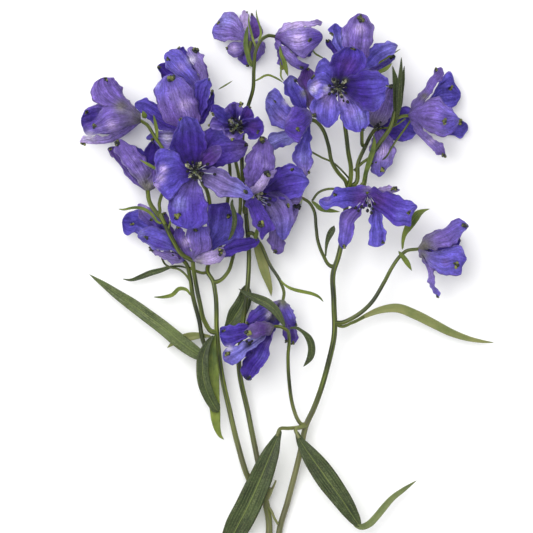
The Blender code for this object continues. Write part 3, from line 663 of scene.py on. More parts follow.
LEAVES = {
    "leaf_left_long": (grey_leaf_tissue, (
        (214, 358, 10.5, 2), (209, 359, 10.6, 5), (200, 355, 10.8, 11), (190, 348.5, 11, 14),
        (178, 339.5, 11, 14.6), (164, 328, 10.6, 14), (148, 316, 9.5, 13.4), (133, 305, 8.2, 12.4),
        (117, 294, 6.6, 9.5), (104, 284.5, 4.6, 6), (96, 279, 3.4, 3.2), (89, 274, 2.4, 0.4))),
    "leaf_left_narrow": (leaf_tissue, (
        (189, 269, 6.8, 1.2), (182, 266.5, 6.5, 1.8), (172, 266.8, 6.3, 2.8), (160, 270.5, 6, 5),
        (150, 273.2, 5.5, 5.8), (141, 276.8, 5, 5), (130, 280, 4.4, 2.6), (122, 278.7, 4, 0.4))),
    "leaf_hanging": (leaf_tissue, (
        (213.5, 335, 13.6, 2), (207.8, 344, 14.3, 7), (203.4, 356, 14.4, 11.5), (202.6, 369, 14.2, 12.5),
        (204.5, 383, 13.6, 13), (208.7, 395, 12.8, 12), (213.4, 404, 12, 10.5), (217, 409.5, 11.4, 8),
        (219, 412, 11.1, 0.4))),
    "leaf_behind_left": (tan_leaf_tissue, (
        (212, 336.5, 6.4, 1.5), (200, 335.5, 5.5, 6), (190, 336.5, 5.2, 8.5), (180, 339.5, 5, 7.5),
        (172, 344, 4.4, 4), (167, 348, 4, 0.4))),
    "leaf_over_floret": (leaf_tissue, (
        (233, 199, 34, 1.4), (232, 204, 33.6, 3), (234, 212, 33, 4.5), (235, 220, 32, 5),
        (233.5, 229, 30.6, 4.5), (231, 236, 29.6, 3), (228, 241, 29, 0.4))),
    "leaf_middle_right": (tan_leaf_tissue, (
        (254, 236, 8.4, 2), (258, 246, 7.8, 9), (261.5, 258, 7, 10.5), (264.5, 270, 6.4, 9.5),
        (268, 281, 5.8, 7), (270.5, 290, 5.3, 4), (271.3, 296.5, 5, 0.4))),
    "leaf_middle_left": (leaf_tissue, (
        (247, 284, 6.4, 2), (246, 290, 6, 10.5), (245, 297, 5.4, 14), (241.5, 306, 5, 16.5),
        (236, 315, 4.7, 17), (230.5, 323, 4.3, 11), (226, 328, 4, 5), (222, 331.5, 4, 0.4))),
    "leaf_right_narrow": (young_leaf_tissue, (
        (280, 279, 13.4, 1), (284, 284, 14.8, 2), (290, 288, 16, 3), (297, 290.3, 16, 3.5),
        (305, 292, 15.8, 3.5), (313, 294, 15.2, 3.3), (319, 297, 14.2, 2.4), (323.5, 302, 13, 0.4))),
    "leaf_over_lower": (leaf_tissue, (
        (285, 327, 26, 1.6), (281, 319, 26, 6), (275, 310, 25, 9), (267, 303, 24, 10),
        (257, 298.5, 22.5, 9), (249, 295, 21, 6), (243, 291.5, 20, 3), (238.5, 288.5, 19, 0.4))),
    "leaf_right_arc": (leaf_tissue, (
        (289, 328, 24, 1.5), (296, 327.5, 24.2, 3), (302, 331, 24, 3.5), (308, 337, 22.8, 6.5),
        (311.5, 347, 21, 7.5), (310, 357, 19.4, 6.5), (306.5, 362.5, 18.5, 3.5), (303, 366.5, 18, 0.4))),
    "leaf_right_long": (tan_leaf_tissue, (
        (340, 326.5, 12, 1.6), (352, 323, 11.4, 2.6), (366, 315.5, 10.6, 4.5), (380, 310, 10, 7),
        (397, 308, 9.2, 9), (415, 314.5, 8.2, 9.5), (433, 323.5, 7.2, 9), (452, 333, 6, 7.5),
        (470, 339, 4.8, 5), (484, 341.6, 3.8, 2.8), (494, 342.6, 3, 0.4))),
    "leaf_upper_right": (young_leaf_tissue, (
        (402, 250, 17, 1.6), (403, 242, 17.6, 2), (404.5, 234, 18.6, 4.5), (408, 227, 19.4, 8),
        (414, 218, 20, 9.5), (419, 213, 20, 6.5), (424, 210.5, 20, 3), (429.5, 209, 20, 0.4))),
    "leaf_bottom_left": (leaf_tissue, (
        (281, 429.5, 13, 2.5), (277, 438, 13.8, 8), (272.5, 449, 14, 15), (267, 462, 13.6, 20),
        (261, 477, 12.8, 23), (254, 493, 11.4, 25), (247, 508, 9.8, 25.5), (238, 525, 7.6, 25),
        (230, 541, 5.2, 19), (224, 553, 3.6, 10), (219, 562, 2.6, 0.4))),
    "leaf_bottom_right": (leaf_tissue, (
        (296, 430, 13, 2.5), (300, 440, 13.8, 8), (305, 448, 14, 13), (311, 456.5, 14.2, 17.5),
        (319.5, 468, 14.2, 21), (328, 480, 13.9, 22), (336, 491, 13.4, 20.5), (343.5, 501.5, 12.9, 18.5),
        (351, 513, 12.2, 14.5), (357, 522, 11.6, 9), (361.5, 528, 11, 0.4))),
}
# Two leaves have a second sheet, which lies turned over: the folded last third of the lower right
# leaf, and the younger lobe that shows behind the hanging leaf.
TURNED_SHEETS = {
    "leaf_bottom_right": (leaf_underside, (
        (353, 524.5, 11.6, 2), (361, 526.5, 11.2, 6), (369, 523.5, 10.2, 7), (376, 516.5, 9.4, 7),
        (383, 508, 8.5, 7), (392, 498, 7.4, 6), (404, 489, 6, 4.5), (417, 480, 5, 0.4))),
    "leaf_hanging": (young_leaf_tissue, (
        (215.8, 334, 12.2, 2), (212.8, 345, 11.9, 7), (212.2, 358, 11.5, 11), (212.6, 372, 11, 13),
        (213, 386, 10.5, 13), (214, 398, 10.1, 11.5), (215.2, 410, 9.7, 10.5), (215.9, 420, 9.4, 9),
        (217.9, 430, 9.2, 6), (221, 436.5, 8.9, 3), (224.3, 439.5, 8.7, 0.4))),
}
for number, (leaf_name, (tissue, knots)) in enumerate(LEAVES.items()):
    sheets = [leaf_sheet(knots, LEAF_KEEL, LEAF_WAVE, 100 + number)]
    underside, turned_knots = TURNED_SHEETS.get(leaf_name, (leaf_underside, None))
    if turned_knots:
        turned_sheet = leaf_sheet(turned_knots, LEAF_KEEL, LEAF_WAVE, 120)
        turned_sheet["fronts"] = ~turned_sheet["fronts"]
        sheets.append(turned_sheet)
    piece = sheet_object(leaf_name + "_blade", sheets, [tissue, underside])
    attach(piece, "root")
    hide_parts(leaf_name)


# The bracts and the bud: narrow little leaves at the feet of the pedicels and an unopened
# cluster of them at the top of one branch, thin and simply pointed. The small bracts are young
# yellow-green tissue, the bud and the right bract the darker leaf tissue.

BUD_KEEL = 0.55
BRACT_KEEL = 0.3
SMALL_BRACT_KEEL = 0.35
BUD_WAVE = 0.15 * MM
BRACT_WAVE = 0.1 * MM
SMALL_BRACT_WAVE = 0.08 * MM
BUD_KNOTS = (
    ((394, 126, 19.5, 3), (396, 115, 19.5, 6), (396.5, 103, 19.4, 8), (396, 90, 19, 7),
     (394.5, 78, 18.6, 5), (392, 66, 18.4, 0.4)),
    ((396, 122, 20, 2.5), (398, 108, 20.6, 5), (398.5, 95, 20.6, 6), (399.5, 82, 20, 5),
     (400.5, 70, 19.2, 3.5), (401, 57.5, 18.6, 0.4)),
    ((397, 118, 18.6, 2), (400, 104, 18.4, 4), (401, 92, 18.2, 4.5), (402.5, 80, 18, 4),
     (404, 66, 17.6, 0.4)),
)
BRACT_RIGHT_KNOTS = (
    (325.5, 257, 13.4, 1.6), (326, 248, 15.8, 2.5), (327.5, 240, 16.6, 4.5), (330.5, 233, 17, 6.5),
    (333, 228.5, 17, 5), (334, 225.5, 17, 0.4))
SMALL_BRACTS = (
    ((146, 119, 19, 4), (144.5, 115, 20, 5.5), (143, 111, 20.4, 0.4)),
    ((158, 141, 24, 1.5), (157, 130, 24, 3.5), (155.5, 122, 24.5, 3), (154, 115, 25, 0.4)),
    ((167, 173, 29.5, 1.2), (158, 170, 28, 2.5), (149, 165, 27, 3), (140, 160, 26, 0.4)),
    ((163, 224, 23.5, 2), (158, 222, 23, 2.5), (155, 218, 22.6, 3), (150, 212.5, 22, 3.2),
     (145, 209.5, 21.5, 3.2), (138, 207.8, 21, 3), (131, 208.3, 20, 2.6), (124, 209.8, 19, 2),
     (118, 209, 18, 0.4)),
    ((191, 296, 8.4, 1.2), (187, 290, 8.2, 3), (180, 288.5, 7.6, 4), (172, 295, 6.4, 4), (163, 297, 5.4, 3),
     (153, 297, 4.4, 0.4)),
    ((206, 88, 16, 1.2), (204, 80, 17, 3), (202, 70, 18, 3.4), (200.5, 60, 19, 0.4)),
    ((254, 68, 18, 1.6), (251, 65, 17, 4), (248, 56, 16, 5), (246, 47, 15.4, 5), (246, 38, 15, 4.4),
     (247, 31, 14.6, 3), (248, 26, 14.4, 0.4)),
    ((256, 52, 19, 1), (255, 45, 18.4, 2), (253, 40, 17.8, 2.4), (251, 32, 17, 2.2), (249, 24, 16, 1.8),
     (249, 14, 15, 0.4)),
    ((258, 47, 20, 1), (259, 42, 19.8, 2), (261, 34, 19, 2.4), (259.5, 26, 18, 2), (257, 18, 17, 1.6),
     (256, 9, 16, 0.4)),
    ((280, 46, 19, 1.4), (281, 55, 19.6, 3.4), (284, 62, 19.4, 4.6), (286, 70, 18.8, 4), (288, 77, 18, 0.4)),
    ((280, 60, 12, 1), (281, 70, 12.2, 1.8), (281, 77, 12, 1.8), (284, 82, 12, 0.4)),
    ((254, 82, 17, 1), (260, 79, 16.6, 2), (264, 76.5, 16, 2.2), (268.5, 75.5, 15.4, 2.2),
     (273, 77, 14.8, 2), (278, 79.5, 14, 1.8), (284, 83.5, 13.4, 0.4)),
    ((312, 50, 15, 1), (315, 54, 15, 1.8), (320, 57, 15, 1.6), (325, 59.5, 15, 0.4)),
    ((218, 90, 14, 0.8), (225, 86, 14, 1.6), (233, 81, 14, 0.4)),
    ((364, 71, 19, 1), (370, 68, 18.4, 2.2), (385, 59, 17, 2.4), (400.5, 49.3, 16, 0.4)),
    ((372, 76, 17, 1.2), (379, 72.5, 17, 3.6), (386, 69, 17, 4), (392, 63.5, 17, 0.4)),
    ((311, 201, 13, 1.4), (315, 204, 13.4, 3.4), (320, 208.5, 14, 4.6), (329, 210.5, 14, 4.4),
     (340, 212, 13.6, 0.4)),
    ((398, 251, 16.6, 1.6), (402, 256, 17, 4.4), (407, 263, 16.8, 5), (411.5, 271, 16, 0.4)),
    ((402, 250, 15.6, 1), (402, 242, 15.4, 2.2), (403, 234, 15.2, 2.4), (404.5, 226, 15, 0.4)),
    ((254, 240, 12, 1.2), (256, 236, 13, 4), (257, 231, 13.4, 3.6), (258, 226, 13.4, 0.4)),
    ((362, 186, 14.4, 1.6), (365, 175, 16.4, 4), (369, 162, 18, 5.4), (373, 149, 19, 5),
     (374, 141, 19.4, 3), (373, 135, 19.6, 0.4)),
)
bud_sheets = [
    leaf_sheet(knots, BUD_KEEL, BUD_WAVE, 150 + number) for number, knots in enumerate(BUD_KNOTS)]
bud = sheet_object("bud_leaves", bud_sheets, [leaf_tissue])
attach(bud, "root")
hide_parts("bud")

bract_sheet = leaf_sheet(BRACT_RIGHT_KNOTS, BRACT_KEEL, BRACT_WAVE, 160)
bract_right = sheet_object("bract_right_blade", [bract_sheet], [leaf_tissue])
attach(bract_right, "root")
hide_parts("bract_right")

small_sheets = [
    leaf_sheet(knots, SMALL_BRACT_KEEL, SMALL_BRACT_WAVE, 170 + number)
    for number, knots in enumerate(SMALL_BRACTS)]
small_bracts = sheet_object("small_bracts", small_sheets, [young_leaf_tissue])
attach(small_bracts, "root")


# The sepals: what looks like the flower's petals. Most florets have five of them, soft thin tissue
# with ruffled margins and fanning veins, deep blue-violet inside and a greyer mauve outside. They
# grow by a narrow foot from the end of the pedicel.

TONES = {name: np.array(colour(code)[:3]) for name, code in {
    "night": "#22104f",
    "deep": "#351f7c",
    "violet": "#4b3599",
    "blue": "#5145a8",
    "azure": "#665cbd",
    "sky": "#8783cb",
    "plum": "#553583",
    "mauve": "#6f5ba6",
    "lilac": "#8a78bd",
    "blush": "#c3aee2",
    "frost": "#dcd4ee",
    "dusk": "#75689c",
    "moss": "#77765f",
    "leaf": "#7d883a",
    "ink": "#1a1436",
}.items()}

# Each floret has the place of its foot, the way it faces, its sepals, the patches of other tones
# on them, and the anthers that show. A patch is a place, a reach and a tone. Each sepal has its
# tip, its two margins from foot to tip with the height of each, how far its middle bulges away
# from the inner face, the face that is on top, the tones of that face at its foot, its middle and
# its tip, and the place and width of its gland. Margins and anthers are written as column,row
# pairs. Where no gland is given, a small one sits under the tip. The last sheet of floret_03 is a
# fold of its upper right sepal, which has no gland of its own.
INNER = 1
OUTER = -1
NO_GLAND = ()
Sepal = namedtuple(
    "Sepal", "tip one one_height other other_height bow face tones gland", defaults=(None,))
Floret = namedtuple("Floret", "base facing sepals patches anthers", defaults=(None,))
FLORETS = {
    "floret_01": Floret((141, 121, 16), (-1.0, 0.15, 0.2), (
        ((103.5, 78.5, 21), "132,103 121,89 112,78", 14, "118,112 98,102 92,90 95,83", 22, 2, OUTER,
         "moss mauve mauve", (107, 81, 5)),
        ((81.5, 120, 11), "125,112 108,105 96,104 88,108", 9, "122,128 100,133 84,131", 7, 2, INNER,
         "lilac lilac violet", (87, 112, 5)),
        ((84, 130, 25), "131,112 118,106 103,109 97,117", 23, "130,127 116,132 100,135 87,134.5", 23, 4,
         OUTER, "moss mauve violet", (95, 126, 5)),
        ((80, 142, 15), "130,125 110,133 93,137 84,139", 20, "127,131 110,139.5 95,142 86,143.5", 8, 2,
         OUTER, "mauve lilac blush", (84, 145, 6)),
        ((92, 128, 1.6), "113,114", 2.6, "112,134", 2.6, 3, INNER, "violet violet blue"),
    ), ((112, 126, 5, "blush"), (100, 128, 4, "lilac"), (121, 107, 6, "moss"), (90, 137, 5, "frost"),
        (93, 116, 6, "violet"))),
    "floret_02": Floret((148, 191, 15), (-0.5, 0.85, 0.2), (
        ((108, 148.5, 8), "135,184 122,167 113,157", 7, "130,170 118,152 112,146.5", 8, 2, OUTER,
         "mauve mauve plum"),
        ((120, 139.5, 22), "143,188 134,176 123,163 114.5,150", 18,
         "152,183 148,163 141,153 133,145 125,141", 22, 3, OUTER, "moss mauve mauve", (118.5, 144.5, 7)),
        ((152, 141.5, 9), "143,175 141,160 145,149", 8, "156,180 164,160 162,145", 10, 2, INNER,
         "night deep violet"),
        ((161, 162, 19), "149,180 152,168", 22, "154,189 157,180 160,170", 15, 1, OUTER, "moss mauve plum"),
        ((135, 146, 2), "128,164", 2, "148,162", 2, 3, INNER, "violet violet blue"),
    ), ((134, 160, 4, "lilac"), (141, 172, 4, "lilac"), (148, 186, 6, "moss"))),
    "floret_03": Floret((195, 172, 36), (0.0, 0.05, 1.0), (
        ((185, 118, 48), "183,166 173,158 171,147 175,132 179,122", 43,
         "201,162 206,150 206,137 200,124 193,118.5", 42, 3, INNER, "night deep azure", (181, 120, 4)),
        ((248, 146, 27), "203,158 201,140 205,131 214,126.5 224,128 236,134", 31,
         "212,168.5 226,166 239,160 247,152", 34, 1, INNER, "night violet mauve"),
        ((253.5, 196, 44), "206,169 221,169 234,177 246,186", 44,
         "201,181 208,189 219,196 233,198 246,200.5", 43, 2, INNER, "dusk dusk azure", (246, 192, 6)),
        ((188, 229, 43), "187,180 175,191 168,200 168.5,211 171,220", 42,
         "201,186 206,199 209,212 208,223 199,227", 42, 2, INNER, "dusk violet blue", (179, 217.5, 7)),
        ((154, 184, 45), "184,164 178,154 170,149.5 160,151 156,159 158,170", 45,
         "184,185 177,195 167.5,199.5 158,190", 43, 2, INNER, "violet blue violet"),
        ((222, 152, 41), "199,161 205,150 213,146.5 220,147", 40, "204,168 212,166 219,160", 39, 2, INNER,
         "night plum mauve", NO_GLAND),
    # The night patch round the middle is painted shade in the floret's throat.
    ), ((195, 172, 11, "night"), (157, 187, 3.5, "blush"), (161, 179, 4.5, "blush"), (170, 158, 7, "azure"),
        (164, 170, 4, "blush"), (165, 190, 4, "azure"), (184, 127, 4, "ink"), (210, 156, 8, "plum"),
        (216, 152, 3, "mauve"), (203, 148, 7, "deep"), (224, 134, 8, "azure"), (240, 150, 6, "mauve"),
        (222, 184, 6, "lilac"), (238, 190, 5, "sky"), (180, 204, 7, "sky"), (190, 143, 7, "violet"),
        (182, 124, 5, "azure")),
        "188,163 191,167 197,164 200,168 193,171 188,172 199,173 194,176 208,165 215,175 203,183"),
    "floret_04": Floret((190, 128, 26), (-0.15, 0.9, -0.35), (
        ((171, 75, 33), "176,128 163,118 156.5,104 156.5,90 162,80", 31,
         "199,124 200,112 197,98 191,87 182,79", 30, 3, OUTER, "plum mauve azure", (171, 80.5, 9)),
        ((135, 104, 13), "180,120 157,104 148,99.5 141,99.5", 17, "175,134 158,128 146,118 139,110", 14, 2,
         INNER, "violet violet azure"),
        ((209, 79, 29), "193,112 194.5,97 195,87 201,81", 27, "203,115 209,99 211.5,88", 27, 1, INNER,
         "deep violet azure"),
        ((213, 90, 22), "203,110 210,97", 20, "204,123 211,110 215,99", 21, 1, INNER, "deep violet blue",
         (212, 93, 6)),
        ((146.5, 138.5, 16), "180,132 165,132 152,133", 18, "176,146 166,149 155,143", 17, 2, INNER,
         "violet lilac azure", (153, 140, 4)),
    ), ((185, 106, 6, "blush"), (188, 116, 5, "lilac"), (160, 92, 6, "azure"), (167, 138, 5, "frost"),
        (176, 96, 6, "lilac"), (158, 87, 3, "sky"))),
    "floret_05": Floret((206, 97, 15), (-0.4, 0.9, 0.0), (
        ((165, 55, 20), "202,84 196,71 189,61 182,52 172,49.5", 21, "196,92 182,80 170,72 164.5,63", 18, 3,
         OUTER, "mauve azure azure", (168.5, 60, 5)),
        ((190, 47.5, 19), "202,84 195,70 190,60 188,50", 20, "206,80 203,66 201,57 196,49.5", 15, 2, OUTER,
         "mauve lilac lilac", (195, 51, 7)),
        ((180, 50, 8), "172,62", 7, "190,58", 8, 2, INNER, "violet violet blue"),
        ((202.5, 60, 6), "204,85 201,72", 5, "209,84 208.5,74 206,66", 8, 2, OUTER, "plum plum mauve"),
        ((157.5, 66.5, 10), "185,76 170,66 163,63.5", 8, "180,92 168,84 162,78.5 159,72", 12, 2, INNER,
         "deep violet violet"),
    ), ((181, 68, 5, "lilac"), (192, 60, 4, "frost"), (176, 58, 6, "azure"), (200, 88, 6, "dusk"))),
    "floret_06": Floret((236, 128, 33), (0.0, 0.1, 1.0), (
        ((213, 106, 41), "231,118 226,110 219,107", 41, "228,124 216,120 211.5,112", 42, 3, INNER,
         "deep blue violet", (211.5, 116, 5)),
        ((210, 127, 40), "226,124 214,118", 41, "226,131 216,131", 41, 2, INNER, "deep violet lilac"),
        ((234, 105, 44), "231,118 225,111 228,107", 42, "240,118 243,110 240,105.5", 42, 3, INNER,
         "night deep lilac", (241, 105.5, 5)),
        ((249, 109, 42), "240,118 242,110 245,107", 42, "246,124 254,119 252.5,113", 41, 2, INNER,
         "night deep violet"),
        ((262.5, 127, 44), "244,121 251,118.5 257,118 261,122", 43, "246,134 252,141 258,140 262,134", 43,
         3, INNER, "night deep violet", (258, 133, 5)),
        ((233, 139.5, 45), "228,124 222,128 223,133 227,137.5", 44, "246,130 244,136 241,139", 44, 2, INNER,
         "dusk deep mauve"),
    ), ((236, 127, 6, "dusk"), (240, 109, 2, "lilac"), (231, 139, 3, "blush"), (222, 131, 3, "lilac"),
        (253, 128, 5, "plum"), (219, 113, 4, "blue"), (248, 114, 4, "plum")),
        "229,123 232,119 236,121 240,124 242,128 238,131 231,130 234,126"),
    "floret_07": Floret((250, 194, 24), (0.8, 0.0, 0.6), (
        ((262, 137, 34), "247,184 243,175 246,162 251,150 257,141", 33,
         "262,186 276,167 274,156 271,146 268,140", 33, 2, OUTER, "mauve mauve mauve", (262, 139.5, 8)),
        ((277, 171, 36), "254,184 262,178 268,171", 36, "259,193 266,188 270,179 276,173", 32, 1, OUTER,
         "lilac blush lilac", (266.5, 174.5, 7)),
        ((309, 181, 24), "265,184 272,175 280,167 291,163.5 299,168 306,177", 26,
         "266,200 282,201 296,199 304,191", 23, 2, INNER, "night violet azure", (292, 170, 4)),
        ((282, 240, 23), "266,191 281,193 291,204 295,216 291,228", 24, "263,205 270,217 276,232", 23, 2,
         INNER, "deep dusk azure", (289, 206, 5)),
        ((262, 240, 33), "246,204 251,218 257,230", 33, "257,198 265,210 273,221 275.5,230 267,234", 33, 2,
         OUTER, "violet violet violet", (261, 224.5, 7)),
    # The night patch between the right and lower sepals is painted shadow.
    ), ((276, 191, 9, "night"), (258, 158, 4, "lilac"), (266, 166, 4, "lilac"), (292, 186, 8, "violet"),
        (293, 216, 4, "lilac"), (284, 212, 6, "mauve")),
        "262,198 266,201 269,205 264,207 270,199 261,203"),
    "floret_08": Floret((310, 120, 20), (-1.0, 0.0, 0.1), (
        ((290, 76, 22), "300,112 289,100 284,92 284,84", 23, "308,110 305,95 300,85 294,77", 19, 2, INNER,
         "deep blue azure", (296, 81, 4)),
        ((308, 68, 12), "308,108 302,92 298,80", 12, "315,108 318,92 316,75", 12, 2, OUTER,
         "moss plum plum"),
        ((265.5, 101, 13), "300,114 288,104 281,95 274,88", 12, "298,124 284,130 274,127 268,117", 13, 2,
         INNER, "azure azure sky", (275, 102, 4)),
        ((284.5, 128, 37), "307,112 299,108 293,107 289,113", 33, "307,128 302,136 296,144 290,141", 33, 4,
         OUTER, "mauve violet violet", (297.5, 130.5, 5)),
        ((268, 145, 23), "300,132 287,131 275,133 268,138", 25, "298,142 291,143 280,149 273,152.5", 21, 1,
         INNER, "azure sky sky"),
        ((303, 178, 20), "302,136 296,146 292.5,160 296,169", 20, "310,130 311.5,145 311.5,160 311,171", 19,
         1, INNER, "blue azure lilac", (310, 173, 4)),
    ), ((290, 80, 5, "sky"), (281, 118, 7, "lilac"), (286, 102, 3, "frost"), (281, 147, 5, "violet"),
        (303, 158, 5, "sky"), (302, 174, 4, "blush"), (304, 94, 4, "moss"))),
    "floret_09": Floret((338, 89, 36), (0.0, 0.05, 1.0), (
        ((351, 49, 46), "334,80 329.5,70 331,60 338,51.5 345,49.5", 44,
         "346,84 358,77 366,68 364,58 358,51", 43, 4, INNER, "night violet blue", (353, 49.5, 6)),
        ((307, 86, 45), "334,78 331,66 326,59 319,62 315,73", 43, "335,94 326,97 316,100.5 310,95", 43, 2,
         INNER, "deep azure azure", (312, 77.5, 5)),
        ((327, 128.5, 42), "329,91 317,96 310.5,106 312,116 319,123", 42,
         "336,95 338.5,106 339,114 337,121", 41, 2, INNER, "mauve azure blue", (312, 119, 5)),
        ((357, 133, 42), "337,100 338.5,112 341,123 347,130", 41, "350,92 360,98 367,107 369.5,118 367,127",
         41, 1, INNER, "mauve azure blue", (362.5, 130, 4)),
        ((388, 87, 44), "346,79 358,73 369,71.5 379,73 386,79", 45,
         "345,96 354,105 363,111.5 374,112.5 381,108 384,100 384,93", 46, 2, INNER, "night deep azure"),
    # The night patch round the middle is painted shade in the floret's throat.
    ), ((340, 84, 9, "night"), (316, 85, 4, "blush"), (321, 76, 7, "azure"), (351, 112, 7, "lilac"),
        (313, 91, 3.5, "frost"), (334, 82, 2.5, "leaf"), (345, 81.5, 2.5, "leaf"), (326, 90, 3, "frost"),
        (343, 101, 4, "blush"), (325, 98, 4, "blush"), (347, 66, 8, "plum"), (314, 114, 3, "lilac"),
        (328, 104, 7, "lilac"), (360, 119, 6, "sky"), (374, 86, 8, "blue"), (380, 102, 5, "azure"),
        (364, 92, 6, "deep")),
        "333,81 336,84 343,81 329,87 338,88 341,90 334,92 339,94 336,97 329,95 341,98 343,102 347,103"),
    "floret_10": Floret((357, 72, 21), (0.1, 1.0, -0.3), (
        ((358, 14.5, 29), "349,60 342,46 341.5,33 346,24 352,18", 26,
         "365,62 370,49 373.5,37 372,26 366,17", 26, 3, OUTER, "mauve mauve mauve", (360, 19.5, 8)),
        ((335, 24, 18), "352,62 346,45 342,30", 15, "348,66 338,50 331,38 329,30", 19, 1, INNER,
         "violet azure azure", (330, 37, 4)),
        ((326, 41, 16), "346,62 336,48 330,40", 15, "345,66 334,56 328,48", 14, 1, OUTER,
         "mauve violet violet"),
        ((397, 46.5, 20), "364,62 371,47.5 380,43.5 390,42", 21, "364,72 375,66 386,58 395,51.5", 20, 1,
         INNER, "azure azure sky"),
        ((395, 57, 12), "370,67 380,62 390,57", 12, "372,76 382,72 391,64", 14, 1, OUTER,
         "mauve violet azure", (392.5, 57, 6)),
        ((352, 28, 9), "344,46", 8, "366,44", 9, 2, INNER, "violet violet blue"),
    ), ((346, 38, 5, "lilac"), (359, 30, 5, "blush"), (366, 44, 4, "lilac"), (338, 40, 5, "sky"))),
    "floret_11": Floret((275, 37, 16), (1.0, -0.15, 0.1), (
        ((322, 23, 15), "281,28.5 292,24.5 307,23.5", 9, "285,34 300,28.5 314,27.5", 20, 1, OUTER,
         "lilac blush lilac", (320, 23, 4)),
        ((322.5, 37, 24), "282,33 297,28.5 311,28.5 319,32", 24, "283,42 293,53 304,58.5 313,51.5 320,44",
         22, 4, OUTER, "mauve lilac violet", (310.5, 41, 5)),
        ((309, 66, 17), "284,46 293,55 301,60.5", 20, "281,50 289,61 297,68 304,70", 14, 2, OUTER,
         "mauve lilac violet", (301.5, 68, 4)),
        ((282, 70, 11), "276,48 277,58 279.5,65", 14, "281,50 284,58 284.5,66", 9, 1, OUTER,
         "mauve mauve mauve", (282, 68, 5)),
        ((314, 48, 2.2), "298,31", 3.2, "300,56", 2.2, 3, INNER, "violet violet blue"),
    ), ((298, 40, 6, "blush"), (279, 37, 5, "plum"), (316, 38, 4, "violet"))),
    "floret_12": Floret((251, 42, 13), (-0.1, 0.0, -1.0), (
        ((213, 29, 9), "246,34 241,22 236,14.5 224,13 219.5,19", 9, "246,41.5 233,41 221,41.5 212.5,36.5",
         10, 2, OUTER, "mauve lilac azure", (219, 23, 4)),
        ((244, 10.5, 7), "246,34 241.5,24 240.5,14", 8, "250,34 249.5,22 248.5,13.5", 9, 1, OUTER,
         "mauve blush blush", (247.5, 12, 3)),
        ((251.5, 14, 10), "251,34 250,22", 10, "258,38 263,33 261,26 256,19", 10, 1, OUTER,
         "plum plum mauve", (251.5, 15, 3)),
        ((227, 48, 8), "243,43 234,42 228.5,45", 9, "246,50 240,56.5 233,57.5 228.5,54", 9, 1, OUTER,
         "dusk mauve dusk"),
        ((247, 65.5, 4), "246,50 237,57 240,62", 5, "262,42 265.5,48 262,56 255,63", 6, 1, OUTER,
         "dusk mauve violet"),
    ), ((226, 20, 7, "sky"), (232, 33, 6, "mauve"), (234, 49, 4, "blush"), (250, 46, 5, "moss"))),
    "floret_13": Floret((376, 128, 13), (0.2, 0.1, 0.9), (
        ((391, 86, 15), "368,122 369,108 376,98 382,90", 15, "385,124 392,116 394.5,104 394.5,92", 13, 2,
         OUTER, "moss lilac mauve", (390, 88, 6)),
        ((417, 132, 10), "388,118 400,107.5 409,107.5", 10, "384,136 397,141 408,141 414,136", 10, 1, INNER,
         "deep violet azure"),
        ((379, 177, 14), "372,138 370,152 370.5,167", 14, "384,132 392,139 395,148 392,163 386,171", 13, 2,
         OUTER, "mauve lilac azure", (382, 169, 6)),
        ((352, 112, 8), "361,100", 8, "360,124", 8, 2, INNER, "violet violet blue"),
        ((372, 92, 8), "365,106", 8, "384,104", 8, 2, INNER, "violet violet blue"),
    ), ((382, 108, 6, "mauve"), (383, 152, 6, "blush"), (404, 124, 6, "blue"))),
    "floret_14": Floret((408, 116, 17), (1.0, 0.0, 0.1), (
        ((441, 68, 18), "411,106 421,91 430,77", 15, "416,109 428,99 437,86 443,73", 20, 1, OUTER,
         "dusk mauve mauve", (437, 70, 5)),
        ((460.5, 95, 8), "424,106 436,88 443,75.5 451,72.5 454.5,82", 9,
         "425,110 440,108 452,109.5 458,103", 8, 2, INNER, "violet azure blue", (450, 88, 5)),
        ((457.5, 119, 25), "417,107.5 429,100 437,98 444,103 452,110.5", 24,
         "420,125 431,133.5 443,138 451,134 457,127", 22, 4, OUTER, "mauve mauve azure", (443.5, 122.5, 6)),
        ((467, 124, 2.9), "435,112 450,112 461,119.5", 1.9, "440,132 453,137 462,138.5", 2.8, 3, INNER,
         "violet azure azure", (459.5, 122.5, 6)),
        ((446, 157, 15), "414,120.5 423,129 433,138 442,148", 17, "412,124 419,136 428,145 438,153", 11, 1,
         OUTER, "mauve lilac mauve", (444.5, 156, 6)),
    ), ((452, 128, 7, "blue"), (432, 112, 5, "mauve"), (424, 97, 4, "moss"), (431, 141, 3, "blush"))),
    "floret_15": Floret((368, 194, 27), (0.0, -1.0, 0.3), (
        ((319, 200.5, 31), "368,187 358,186.5 348,187.5 336,188.5 329,196 323,197.5", 30,
         "376,203 366,208 356,208.5 349,206 343,208.5 334,207 328,210.5", 32, 1, INNER, "plum blue azure",
         (335, 195.5, 4)),
        ((399, 190, 24), "366,188.5 380,187.5 390,187", 28, "368,192 381,192.5 392,192", 20, 1, OUTER,
         "mauve blush lilac", (393.5, 188.5, 7)),
        ((416.5, 206.5, 30), "372,187.5 382,191 394,195 404,198.5 412,202.5", 31,
         "366,204 376,210 386,218 396,227 404,225.5 409,227 411,216", 30, 1, INNER, "night violet azure",
         (408, 212, 5)),
        ((343, 249, 31), "350,207 342,213 338.5,227 337.5,240", 31,
         "361,208 360,216 354,226 351,238 349,245", 31, 1, INNER, "plum mauve azure", (343, 246, 5)),
        ((376, 247, 29), "371,212 368.5,222 369,234 369,245", 29, "380,210 383,222 385,236 384,244", 27, 1,
         INNER, "plum azure azure", (383, 242, 4)),
    ), ((360, 199, 8, "plum"), (327, 200, 3, "lilac"), (366, 190, 4, "dusk"), (378, 200, 8, "plum"),
        (400, 216, 6, "azure"), (354, 228, 4, "violet"), (382, 236, 3, "violet")),
        "355,208 358,211 361,207 366,203 369,206 372,209 374,204 367,211 371,213"),
    "floret_16": Floret((418, 249, 16), (1.0, -0.2, 0.1), (
        ((468, 226, 19), "422,240 434,232 448,224.5 460,220", 17, "424,249.5 440,249.5 452,246 459,237", 23,
         3, OUTER, "moss mauve azure", (463, 226, 7)),
